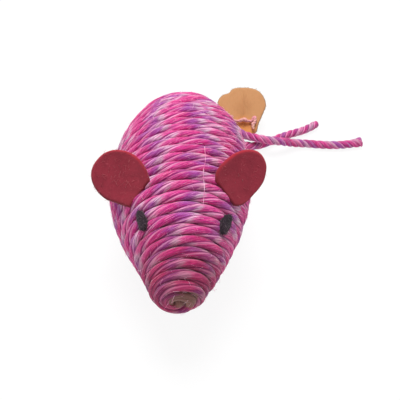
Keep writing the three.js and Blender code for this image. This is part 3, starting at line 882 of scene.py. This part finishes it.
# %% Knot inside the core
KNOT_ROPE_RADIUS = 1.45 * MM
knot_low, knot_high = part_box("rope_knot")
knot_middle = np.array((knot_low + knot_high) / 2)
knot_reach = (knot_high.x - knot_low.x) / 2 - KNOT_ROPE_RADIUS
t = np.linspace(0.25, 2 * np.pi - 0.12, 120)
trefoil = np.column_stack([
    np.sin(t) + 2 * np.sin(2 * t), -1.5 * np.sin(3 * t), np.cos(t) - 2 * np.cos(2 * t),
])
knot_line = even_points(knot_middle + trefoil * knot_reach / 3, RING_STEP)
knot = make_rope(
    "tail_knot", knot_line, (0, 1, 0.2), twist_along(knot_line, TAIL_LAY), 1.0, KNOT_ROPE_RADIUS,
    rope_finish, rope_section,
)

# %% [markdown]
# ## Felt ears
# Each ear is a petal cut from red wool felt, glued in a line across the turns. A flat plate would
# look like card, so the petal is a closed sheet with rounded cut edges that cups a little. Rings
# of points run from its middle to its outline on both faces and meet at the edge.

# %% Felt material
def felt_material(name, face, dark, edge, fibre):
    finish = Finish(name, **SOFT)
    place = finish.place()
    cloudy = finish.noise(place, 260, 3)
    tangle = finish.noise(place, (1500, 420, 700), 4, 0.65)
    cross = finish.noise(place, (420, 1500, 900), 4, 0.65)
    # The cut edge is painted: a painted highlight (edge) where lit_side is high, painted shade (dark)
    # elsewhere.
    cut_edge_light_and_shade = finish.mix(finish.attribute("lit_side"), dark, edge)
    fibrous = finish.covered(face, [
        (finish.band(cloudy, 0.35, 0.7), 0.3, dark),
        (finish.attribute("rim"), 0.9, cut_edge_light_and_shade),
        (finish.band(tangle.sum("MAXIMUM", cross), 0.6, 0.74), 0.3, fibre),
    ])
    return finish.paint(fibrous, cloudy * 0.1 + 0.88, tangle * 0.5 + cross * 0.5, 0.25 * MM)


# Face colour, dark tone (also the painted shade on the cut edge), painted highlight on the cut edge, fibre
# colour.
ear_felt = felt_material("red_felt", (146, 44, 60), (104, 28, 42), (168, 34, 50), (196, 92, 104))
eye_felt = felt_material("black_felt", (50, 38, 48), (32, 24, 32), (60, 40, 52), (92, 74, 84))


def smooth_sheet(name, points, faces, material, **layers):
    piece = mesh_object(name, points, faces=faces, **layers)
    mesh = piece.data
    mesh.materials.append(material)
    mesh.polygons.foreach_set("use_smooth", [True] * len(mesh.polygons))
    if signed_volume(mesh) < 0:
        mesh.flip_normals()
    print(f"{name}: {len(mesh.polygons)} faces, {signed_volume(mesh) / MM**3:.0f} cubic mm")
    return piece


def felt_sheet(outline, middle, thickness, rings, cup):
    """Points and faces of a closed sheet: the front rings, the edge and the back rings."""
    count = len(outline)
    lift = thickness / 2
    shares = np.linspace(0, 1, rings + 1)[1:] ** 0.8
    rows = []
    rim = []
    for side in (1, -1):
        for share in shares if side > 0 else shares[:-1]:
            flat = middle + (outline - middle) * share
            edge = np.clip((share - 0.9) / 0.1, 0, 1)
            height = lift * math.sqrt(max(1 - edge**2, 0.0))
            rows.append(np.column_stack([flat, cup(flat) + side * height]))
            rim.append(np.full(count, edge))
    centre = [[*middle, cup(middle[None])[0] + side * lift] for side in (1, -1)]
    order = list(range(rings)) + list(range(len(rows) - 1, rings - 1, -1))
    steps = [(i, (i + 1) % count) for i in range(count)]
    faces = [
        (near * count + i, near * count + j, far * count + j, far * count + i)
        for near, far in zip(order, order[1:]) for i, j in steps
    ]
    top = len(rows) * count
    last = order[-1] * count
    for i, j in steps:
        faces.append((top, j, i))
        faces.append((top + 1, last + i, last + j))
    return np.vstack([*rows, centre]), faces, np.concatenate([*rim, [0, 0]])


# %% Ears
FELT_THICKNESS = 1.8 * MM
EAR_HEIGHT = 18 * MM
EAR_WIDTH = 18 * MM
EAR_CUP = 2.4 * MM
EAR_SUNK = 0.6 * MM
EAR_INNER = (0.373, math.radians(24.5))
EAR_LOWER = (0.315, math.radians(57.5))
EAR_LEAN = (0.72, 0.63, 0.29)
EAR_MIDDLE = np.array([0.3, 9]) * MM
LEFT_EAR_MM = [
    (-5.2, -0.6), (-5.9, 0.8), (-7, 3.4), (-7.6, 7.4), (-6.9, 11), (-5.1, 14.1), (-3.2, 16), (-0.4, 17.4),
    (2.9, 17.7), (5.6, 17.2), (7.8, 15.8), (9.4, 13.5), (10.2, 10.3), (9.9, 6.4), (8.4, 3.2), (6.4, -0.7),
    (5.8, -1.6),
]
RIGHT_EAR_MM = [
    (-6, 0.4), (-8, 2), (-8.9, 4.4), (-9.2, 7.3), (-9.1, 10.7), (-8.3, 13.6), (-6.9, 16), (-5.2, 17.7),
    (-3.3, 18.5), (-1.1, 18.6), (1.3, 17.9), (3.3, 16.2), (4.9, 14), (5.8, 11.2), (6.2, 8.4), (6.5, 5.8),
    (6.3, 3.6), (5.6, 1.9), (4.5, 0.7),
]


def ear_outline(corners_mm, side):
    """A smooth petal through its corners, closed by a straight cut along the root."""
    petal = smooth_line([(side * x * MM, y * MM) for x, y in corners_mm], 0.7 * MM)
    root = np.linspace(petal[-1], petal[0], 14, endpoint=False)[1:]
    return np.vstack([petal, root])


def ear(name, side, corners_mm):
    inner, lower = (
        body_point(share_along(along), side * angle, ROPE_RADIUS) for along, angle in (EAR_INNER, EAR_LOWER)
    )
    across = side * unit(lower - inner)
    out = np.array(EAR_LEAN) * [side, 1, 1]
    out = unit(out - across * out.dot(across))

    def cup(flat):
        away = (flat - EAR_MIDDLE * [0, 1]) / [EAR_WIDTH, EAR_HEIGHT]
        return (away[:, 0] ** 2 + away[:, 1] ** 2) * EAR_CUP - EAR_SUNK

    outline = ear_outline(corners_mm, side)
    points, faces, rim = felt_sheet(outline, EAR_MIDDLE, FELT_THICKNESS, 16, cup)
    away = points[:, :2] - EAR_MIDDLE
    away = away / np.maximum(np.linalg.norm(away, axis=1), MM)[:, None]
    # How far the cut edge faces the lamp, towards the ear's tip and inner side: it sets the painted
    # highlight and shade.
    lit_side = np.clip(0.45 + 0.8 * (away[:, 1] * 0.8 - side * away[:, 0] * 0.6), 0, 1)
    placed = (inner + lower) / 2 + points @ np.array([across, out, np.cross(across, out)])
    return smooth_sheet(name, placed, faces, ear_felt, rim=rim**0.6, lit_side=lit_side)


left_ear = ear("felt_ear_left", -1, LEFT_EAR_MM)
right_ear = ear("felt_ear_right", 1, RIGHT_EAR_MM)

# %% [markdown]
# ## Felt eyes
# Each eye is a small oval of dark felt, glued along the body. It is a low dome with a rounded edge
# that follows the turns under it.

# %% Eyes
EYE_DOME = 1.5 * MM
EYE_BEND = 2 * MM


def eye(name, along_share, degrees, length, width, pointed):
    share = share_along(along_share)
    angle = math.radians(degrees)
    normal = body_normal(share, angle)
    around = np.array([math.cos(angle), 0, -math.sin(angle)])
    turn = np.linspace(0, 2 * np.pi, 40, endpoint=False)
    narrow = 1 - pointed * np.clip(-np.sin(turn), 0, 1) ** 2
    outline = np.column_stack([width / 2 * np.cos(turn) * narrow, length / 2 * np.sin(turn)])

    def cup(flat):
        return EYE_DOME * 0.35 - (flat[:, 0] / width) ** 2 * EYE_BEND

    points, faces, rim = felt_sheet(outline, np.zeros(2), EYE_DOME * 1.2, 10, cup)
    axes = np.array([around, np.cross(normal, around), normal])
    placed = body_point(share, angle, ROPE_RADIUS) + points @ axes
    # With no lit_side, the whole rim takes the dark felt colour: painted shade round the edge of the dome.
    return smooth_sheet(name, placed, faces, eye_felt, rim=rim)


left_eye = eye("felt_eye_left", 0.236, -42.5, 7 * MM, 3 * MM, 0.05)
right_eye = eye("felt_eye_right", 0.25, 48.3, 7.4 * MM, 3.8 * MM, 0.4)

# %% [markdown]
# ## Feather
# The feather is one tan body feather. Its quill runs back under the tie on the tail, and its vane
# is a thin web that hundreds of barbs stiffen. A flat sheet alone would look like leather, so
# Geometry Nodes lay a barb from the quill to the rim for every few tenths of a millimetre.

# %% The feather's place and outline
FEATHER_ROOT = np.array([26.4, 54.352, 4.36]) * MM
FEATHER_TILT = math.radians(25)
VANE_HALF_WIDTH = 11 * MM
VANE_LENGTH = 20 * MM
WEB_THICKNESS = 0.35 * MM
VANE_OUTLINE_SHARES = [
    [0.05, -0.1], [0.5, -0.06], [0.62, 0.16], [0.8, 0.42], [0.9, 0.61], [0.78, 0.82], [0.57, 0.94],
    [0.33, 0.985], [-0.03, 0.99], [-0.42, 0.95], [-0.6, 0.84], [-0.72, 0.81], [-0.87, 0.765],
    [-1.03, 0.58], [-0.85, 0.42], [-0.43, 0.24], [-0.2, -0.03],
]
VANE_SIZE = np.array([VANE_HALF_WIDTH, VANE_LENGTH])
STREAK_SHADE = (164, 112, 70)
WARM_SHADE = (226, 150, 80)
WARM_REACH = (2 * MM, 8 * MM)
feather_axes = np.array([
    [1, 0, 0],
    [0, math.cos(FEATHER_TILT), math.sin(FEATHER_TILT)],
    [0, -math.sin(FEATHER_TILT), math.cos(FEATHER_TILT)],
])
vane_outline = smooth_line(
    [np.array(share) * VANE_SIZE for share in VANE_OUTLINE_SHARES + VANE_OUTLINE_SHARES[:1]], 0.5 * MM
)[:-1]


def on_feather(points):
    return FEATHER_ROOT + np.asarray(points) @ feather_axes


def feather_material(name, light, dark, rim_shade):
    finish = Finish(name, **SOFT)
    place = finish.place()
    cloudy = finish.noise(place, 130, 3)
    streaks = finish.noise(place, (2600, 600, 600))
    from_root = finish.vectors("DISTANCE", place, tuple(FEATHER_ROOT), "Value")
    rimmed = finish.covered(finish.mix(cloudy, light, dark), [
        (1 - finish.band(streaks, 0.3, 0.5), 0.15, STREAK_SHADE),
        (1 - finish.band(from_root, *WARM_REACH), 0.7, WARM_SHADE),
        (finish.band(finish.attribute("rim"), 0.84, 1), 0.8, rim_shade),
    ])
    return finish.paint(rimmed, cloudy * 0.2 + 0.55, streaks, 0.12 * MM)


feather_tan = feather_material("tan_feather", (194, 142, 96), (186, 134, 88), (178, 148, 122))
quill_horn = feather_material("quill_horn", (214, 150, 92), (202, 128, 79), (214, 150, 92))

# %% Vane
VANE_DISH = 0.15 * MM
VANE_WAVE = 0.03 * MM


def vane_bend(flat):
    """The vane is a little dished across and wavy along."""
    across, along = (flat / VANE_SIZE).T
    return VANE_DISH * across**2 + VANE_WAVE * np.sin(7 * along + 2 * across)


web_points, web_faces, web_rim = felt_sheet(
    vane_outline, np.array([0, 0.5 * VANE_LENGTH]), WEB_THICKNESS, 14, vane_bend
)
vane = smooth_sheet("feather_vane", on_feather(web_points), web_faces, feather_tan, rim=web_rim)

# %% Barbs
BARB_STEP = 0.34 * MM
BARB_RADIUS = 0.1 * MM
BARB_BOW = 0.25 * MM
BARB_TAPER = 0.45
SHORTEST_BARB = 2 * MM
BARB_SEED = 11
RAGGED_SHARES = (-0.03, 0.06)
QUILL_REACH = 0.9


def barb_tree():
    shape = Shape("feather_barbs", Barb_Radius="Float", Barb_Bow="Float", Material="Material")
    bow = shape.vector(0.5, shape.inputs["Barb Bow"], 0.0)
    values = {"Resolution": 6, "Start": (0, 0, 0), "Middle": bow, "End": (1, 0, 0)}
    line = shape.node("GeometryNodeCurveQuadraticBezier", {}, values)
    factor = shape.node("GeometryNodeSplineParameter", {}, {}, "Factor")
    radius = (1 - factor * BARB_TAPER) * shape.inputs["Barb Radius"]
    barb = shape.tube(shape.marked(line, "rim", factor), shape.circle(4, 1.0), radius)
    settings = {"primary_axis": "X", "secondary_axis": "Z"}
    aim, face = (shape.field(name, "FLOAT_VECTOR") for name in ("aim", "face"))
    values = {"Primary Axis": aim, "Secondary Axis": face}
    turn = shape.node("FunctionNodeAxesToRotation", settings, values)
    size = shape.vector(shape.field("reach"), 1.0, 1.0)
    return shape.closed(shape.placed(shape.inputs["Geometry"], barb, turn, size))


def barb_roots():
    """Where each barb leaves the quill, and where its tip is."""
    roots = []
    tips = []
    random = np.random.default_rng(BARB_SEED)
    reach = reach_along(vane_outline)
    split = reach[np.argmax(vane_outline[:, 1])]
    for low, high in ((0, split), (reach[-1], split)):
        count = int(abs(high - low) / BARB_STEP)
        for share in (np.arange(count) + 0.5) / count:
            place = low + (high - low) * share
            rim = np.array([np.interp(place, reach, column) for column in vane_outline.T])
            rim += (rim - [0, 0.4 * VANE_LENGTH]) * random.uniform(*RAGGED_SHARES)
            root = np.array([0, QUILL_REACH * VANE_LENGTH * share**1.15])
            if np.linalg.norm(rim - root) > SHORTEST_BARB:
                roots.append(root)
                tips.append(rim)
    return np.array(roots), np.array(tips)


barb_from, barb_to = barb_roots()
barb_start = on_feather(np.column_stack([barb_from, vane_bend(barb_from) + WEB_THICKNESS * 0.4]))
barb_end = on_feather(np.column_stack([barb_to, vane_bend(barb_to)]))
aims = barb_end - barb_start
barbs = mesh_object(
    "feather_barbs", barb_start, aim=aims, face=np.tile(feather_axes[2], (len(aims), 1)),
    reach=np.linalg.norm(aims, axis=1),
)
apply_tree(barbs, barb_tree(), barb_radius=BARB_RADIUS, barb_bow=BARB_BOW, material=feather_tan)
print("barbs:", len(aims), "faces:", len(barbs.data.polygons))

# %% Quill
QUILL_RADIUS = 0.8 * MM
QUILL_TIP_SHARE = 0.44
QUILL_AT_TIE = np.array([17.855, 54.944, 4.053]) * MM
quill_way = unit((FEATHER_ROOT - QUILL_AT_TIE) * [1, 1, 0])
quill_line = smooth_line([
    QUILL_AT_TIE - quill_way * 3 * MM,
    QUILL_AT_TIE,
    np.array([22.811, 55.1, 2.731]) * MM,
    np.array([25.289, 54.596, 3.82]) * MM,
    on_feather([0, 3 * MM, 0]),
    on_feather([0, 6 * MM, 0]),
], 0.5 * MM)
quill = make_rope(
    "feather_quill", quill_line, (0, 0, 1), 0.0, np.linspace(1, QUILL_TIP_SHARE, len(quill_line)),
    QUILL_RADIUS, quill_horn, plain_section,
)

# %% [markdown]
# ## Tie and loose strand
# A thin strand of the same cotton binds the quill to both tail ropes. It goes three times round
# all three, and its loose end lies crumpled across the feather's root.

# %% Strand material
STRAND_STOPS = [
    (0.25, (204, 134, 116)), (0.42, (228, 152, 164)), (0.55, (224, 174, 156)), (0.7, (240, 212, 210)),
]
STRAND_GROOVE = (150, 84, 92)


def strand_material():
    finish = Finish("cotton_strand", **{**COTTON, "Sheen_Weight": 0.25})
    along = finish.attribute("along")
    section = finish.attribute("section", "Vector")
    place = finish.vector(section.part(0) * 2, section.part(1) * 2, along * 260)
    yarn = finish.noise(place, 1, 3)
    dyed = finish.ramp(finish.noise(finish.vector(0, 0, along * 110), 1), STRAND_STOPS)
    shaded = finish.covered(dyed, [(1 - finish.band(yarn, 0.3, 0.5), 0.4, STRAND_GROOVE)])
    return finish.paint(shaded, yarn * 0.2 + 0.7, yarn, 0.2 * MM)


strand_finish = strand_material()
STRAND_RADIUS = 0.65 * MM
STRAND_LAY = 4 * MM

# %% Tie
LONG_AT_TIE = np.array([19.5, 55.652, 7.06]) * MM
SHORT_AT_TIE = np.array([16.875, 52.59, 6.452]) * MM
TIE_AXIS = np.array([0.7563, -0.5941, -0.2739])
TIE_REACH = ROPE_RADIUS + TOUCH_GAP + STRAND_RADIUS
TIE_TURNS = 3
TIE_SPREAD = 1.9 * STRAND_RADIUS
TIE_SHARES = (-0.85, 0.15)
tie_major = unit(LONG_AT_TIE - SHORT_AT_TIE)
tie_minor = unit(np.cross(TIE_AXIS, tie_major))


def tie_line():
    """Turns round both ropes and the quill, spread along the tie's axis."""
    ring = []
    for centre, reach, low, high in (
        (LONG_AT_TIE, TIE_REACH, 0, np.pi),
        (SHORT_AT_TIE, TIE_REACH, np.pi, 2 * np.pi),
        (QUILL_AT_TIE, QUILL_RADIUS + 0.9 * MM + STRAND_RADIUS, -np.pi / 3, np.pi / 3),
    ):
        turn = np.linspace(low, high, 9)[:, None]
        ring.append(centre + reach * (tie_major * np.sin(turn) - tie_minor * np.cos(turn)))
    ring = np.vstack(ring)
    rise = np.linspace(*TIE_SHARES, TIE_TURNS * len(ring))[:, None] * TIE_TURNS * TIE_SPREAD
    return smooth_line(np.tile(ring, (TIE_TURNS, 1)) + rise * TIE_AXIS, 0.3 * MM)


def make_strand(name, line, swell=1.0):
    twist = twist_along(line, STRAND_LAY)
    return make_rope(
        name, line, (0.1, 0.2, 1), twist, swell, STRAND_RADIUS, strand_finish, thread_section
    )


tie = make_strand("tail_binding", tie_line())

# %% Loose end of the strand
# Each point is how far across the feather, how far along it and how high above it.
STRAND_ROUTE_MM = [
    (-5.6, 5, 1.5), (-3.8, 3.6, 1.2), (-1.6, 3.3, 1.7), (0.4, 3.6, 1.9), (2.2, 3.2, 1.5),
    (3.6, 4.8, 1.15), (4.7, 5.5, 1.15), (5.3, 4.1, 1.2), (3.6, 2.4, 1.5), (4.8, 0.4, 1.3),
]
STRAND_RISE = math.radians(50)
CRUMPLE = 0.5 * MM
CRUMPLE_EVERY = 1.6 * MM
CRUMPLE_SEEDS = (21, 22)
SWELL_EVERY = 1.9 * MM
SWELL_SEED = 23
strand_start = LONG_AT_TIE + (TIE_REACH + 0.5 * STRAND_RADIUS) * (
    tie_major * math.cos(STRAND_RISE) + tie_minor * math.sin(STRAND_RISE)
)
strand_line = smooth_line(
    [strand_start] + [on_feather(np.array(place) * MM) for place in STRAND_ROUTE_MM], 0.3 * MM
)
reach = np.linspace(0, line_length(strand_line), len(strand_line))
fade = np.clip(reach / (4 * MM), 0, 1)[:, None]
moves = np.stack([slow_noise(reach, CRUMPLE_EVERY, seed) for seed in CRUMPLE_SEEDS], axis=1)
strand_line = strand_line + moves * fade @ feather_axes[:2] * CRUMPLE
strand_swell = 1.15 + 0.4 * slow_noise(reach, SWELL_EVERY, SWELL_SEED)
strand = make_strand("loose_strand", strand_line, strand_swell)

# %% [markdown]
# ## Loose fibres
# Cotton and felt are never quite smooth: short fibres stand off them and catch the light, and a
# long pale thread lies over the head. Painted lines would vanish at the outline, so Geometry Nodes
# scatter thin bent hairs over the surface, each with its own direction and length.

# %% Geometry Nodes tree for loose fibres
ROOT_SEED = 5
SPIN_SEED = 7
LENGTH_SEED = 9
LENGTH_SHARES = (0.4, 1.5)


def fibre_tree():
    shape = Shape(
        "loose_fibres", Per_Area="Float", Fibre_Length="Float", Fibre_Radius="Float",
        Floor_Height="Float", Material="Material",
    )

    def random(low, high, seed):
        values = {2: low, 3: high, "Seed": seed}
        return shape.node("FunctionNodeRandomValue", {"data_type": "FLOAT"}, values, 1)

    values = {"Mesh": shape.inputs["Geometry"], "Density": shape.inputs["Per Area"], "Seed": ROOT_SEED}
    settings = {"distribute_method": "RANDOM"}
    roots = shape.node("GeometryNodeDistributePointsOnFaces", settings, values)
    rotation = Wire(shape, roots.socket.node.outputs["Rotation"])
    bends = {"Start": (0, 0, -0.05), "Middle": (0.5, 0.1, 0.2), "End": (0.9, 0.3, 0.08)}
    line = shape.node("GeometryNodeCurveQuadraticBezier", {}, {"Resolution": 5, **bends})
    size = shape.inputs["Fibre Length"]
    values = {"Geometry": line, "Scale": shape.vector(size, size, size)}
    sized = shape.node("GeometryNodeTransform", {}, values)
    hair = shape.tube(sized, shape.circle(3, shape.inputs["Fibre Radius"]))
    spin = shape.vector(0, 0, random(0, 2 * math.pi, SPIN_SEED))
    about = shape.node("FunctionNodeEulerToRotation", {}, {0: spin})
    settings = {"rotation_space": "LOCAL"}
    turned = shape.node("FunctionNodeRotateRotation", settings, {0: rotation, 1: about})
    hairs = shape.placed(roots, hair, turned, random(*LENGTH_SHARES, LENGTH_SEED))
    real = shape.node("GeometryNodeRealizeInstances", {}, {"Geometry": hairs})
    return shape.closed(shape.off_floor(real))


def fibre_material(name, light, dark):
    finish = Finish(name, **COTTON)
    place = finish.place()
    patch = finish.noise(place, 300, 2)
    grain = finish.noise(place, 4000, 2)
    tint = finish.mix(finish.band(patch, 0.4, 0.6), light, dark)
    return finish.paint(tint, grain * 0.2 + 0.7, grain, 0.01 * MM)


# %% Fibres on the rope and the felt
loose_fibres = fibre_tree()
cotton_fibre = fibre_material("cotton_fibre", (250, 214, 232), (236, 120, 180))
red_fibre = fibre_material("red_felt_fibre", (196, 96, 104), (150, 50, 62))
dark_fibre = fibre_material("dark_felt_fibre", (88, 66, 78), (46, 34, 42))


def fibres_on(piece, name, count, length_mm, radius_mm, material):
    area = sum(polygon.area for polygon in piece.data.polygons)
    fibres = new_object(name, piece.data.copy())
    fibres.data.materials.clear()
    apply_tree(
        fibres, loose_fibres, per_area=count / area, fibre_length=length_mm * MM,
        fibre_radius=radius_mm * MM, floor_height=FLOOR_CLEARANCE, material=material,
    )
    print(f"{name}: {len(fibres.data.polygons)} faces")
    return fibres


rope_fibres = fibres_on(body_winding, "rope_fibres", 3000, 1.9, 0.03, cotton_fibre)
left_ear_fibres = fibres_on(left_ear, "ear_fibres_left", 240, 1.6, 0.025, red_fibre)
right_ear_fibres = fibres_on(right_ear, "ear_fibres_right", 120, 1.2, 0.025, red_fibre)
left_eye_fibres = fibres_on(left_eye, "eye_fibres_left", 260, 0.9, 0.05, dark_fibre)
right_eye_fibres = fibres_on(right_eye, "eye_fibres_right", 260, 0.9, 0.05, dark_fibre)

# %% Pale thread over the head
THREAD_PLACES = [(0.5, 15), (0.44, 16.6), (0.39, 16), (0.33, 18.4), (0.27, 19.5)]
THREAD_RADIUS = 0.08 * MM
thread_line = smooth_line([
    body_point(share_along(place), math.radians(degrees), ROPE_RADIUS + THREAD_RADIUS)
    for place, degrees in THREAD_PLACES
], 0.5 * MM)
thread = make_rope(
    "pale_thread", thread_line, (0, 0, 1), 0.0, 1.0, THREAD_RADIUS, cotton_fibre, plain_section
)

# %% [markdown]
# ## Floor and light
# The toy sits on a plain pale floor that shows pure white to the camera but keeps a soft shadow.
# A large soft lamp stands above the toy and behind it, and with a plain sky it lights the toy
# about as its colours are written. The front of the nose is turned away from the lamp, so it falls
# into shade, and the rope there carries painted shade as well.

# %% Floor
FLOOR_SIZE = 6.0
WHITE_SHARE = 0.9
WHITE = (1, 1, 1, 1)


def white_to_camera(graph, surface, share, output):
    """Shows white to the camera, glossy and transmission rays, and the surface to all others."""
    seen = graph.node("ShaderNodeLightPath", {}, {}, "Is Camera Ray")
    rays = seen.socket.node.outputs
    for ray in ("Is Glossy Ray", "Is Transmission Ray"):
        seen = seen.sum("MAXIMUM", Wire(graph, rays[ray]))
    white = graph.node("ShaderNodeEmission", {}, {"Color": WHITE, "Strength": 1.0})
    values = {0: seen * share, 1: Wire(graph, surface), 2: white}
    mixed = graph.node("ShaderNodeMixShader", {}, values)
    graph.tree.links.new(mixed.socket, graph.tree.nodes[output].inputs["Surface"])


floor_finish = Finish("white_floor", Roughness=0.9, Base_Color=WHITE)
white_to_camera(floor_finish, floor_finish.shader.outputs[0], WHITE_SHARE, "Material Output")
half = FLOOR_SIZE / 2
corners = [(-half, -half, 0), (half, -half, 0), (half, half, 0), (-half, half, 0)]
floor = mesh_object("floor", corners, faces=[(0, 1, 2, 3)])
floor.data.materials.append(floor_finish.material)

# %% Light
SKY_STRENGTH = 0.5
LAMP_PLACE = Vector((-0.07, 0.26, 0.66))
LAMP_SIZE = 0.4
LAMP_POWER = 5.3
world = bpy.data.worlds.new("pale_sky")
world.use_nodes = True
bpy.context.scene.world = world
background = world.node_tree.nodes["Background"]
background.inputs["Color"].default_value = WHITE
background.inputs["Strength"].default_value = SKY_STRENGTH
white_to_camera(Graph(world.node_tree), background.outputs[0], 1.0, "World Output")
lamp_data = bpy.data.lights.new("window_light", "AREA")
lamp_data.size = LAMP_SIZE
lamp_data.energy = LAMP_POWER
lamp = new_object("window_light", lamp_data)
aimed = LAMP_PLACE.to_track_quat("Z", "Y").to_matrix().to_4x4()
lamp.matrix_world = Matrix.Translation(LAMP_PLACE) @ aimed
print("lamps and floor in place")

# %% [markdown]
# ## Joining the frame
# Every piece rides on the toy's one body. The table gives each piece, the name of its finish and
# the CAD node that it replaces, which is hidden.

# %% What each piece stands for
PARTS = [
    (body_winding, "rope", "body_winding"),
    (knot, "rope", "rope_knot"),
    (left_ear, "red_felt", "left_ear"),
    (right_ear, "red_felt", "right_ear"),
    (left_eye, "black_felt", "left_eye"),
    (right_eye, "black_felt", "right_eye"),
    (tail_long, "rope", "tail_long"),
    (tail_short, "rope", "tail_short"),
    (tie, "strand", "tail_tie"),
    (strand, "strand", "strand_end"),
    (vane, "feather", "feather"),
    (barbs, "feather", "feather"),
    (quill, "feather", "feather"),
    (rope_fibres, "rope", "body_winding"),
    (thread, "rope", "body_winding"),
    (left_ear_fibres, "red_felt", "left_ear"),
    (right_ear_fibres, "red_felt", "right_ear"),
    (left_eye_fibres, "black_felt", "left_eye"),
    (right_eye_fibres, "black_felt", "right_eye"),
]
for ring in (rope_section, thread_section, plain_section):
    bpy.data.objects.remove(ring)
for piece, slot, node in PARTS:
    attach(piece, "root")
    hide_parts(node)
print("pieces:", len(PARTS))
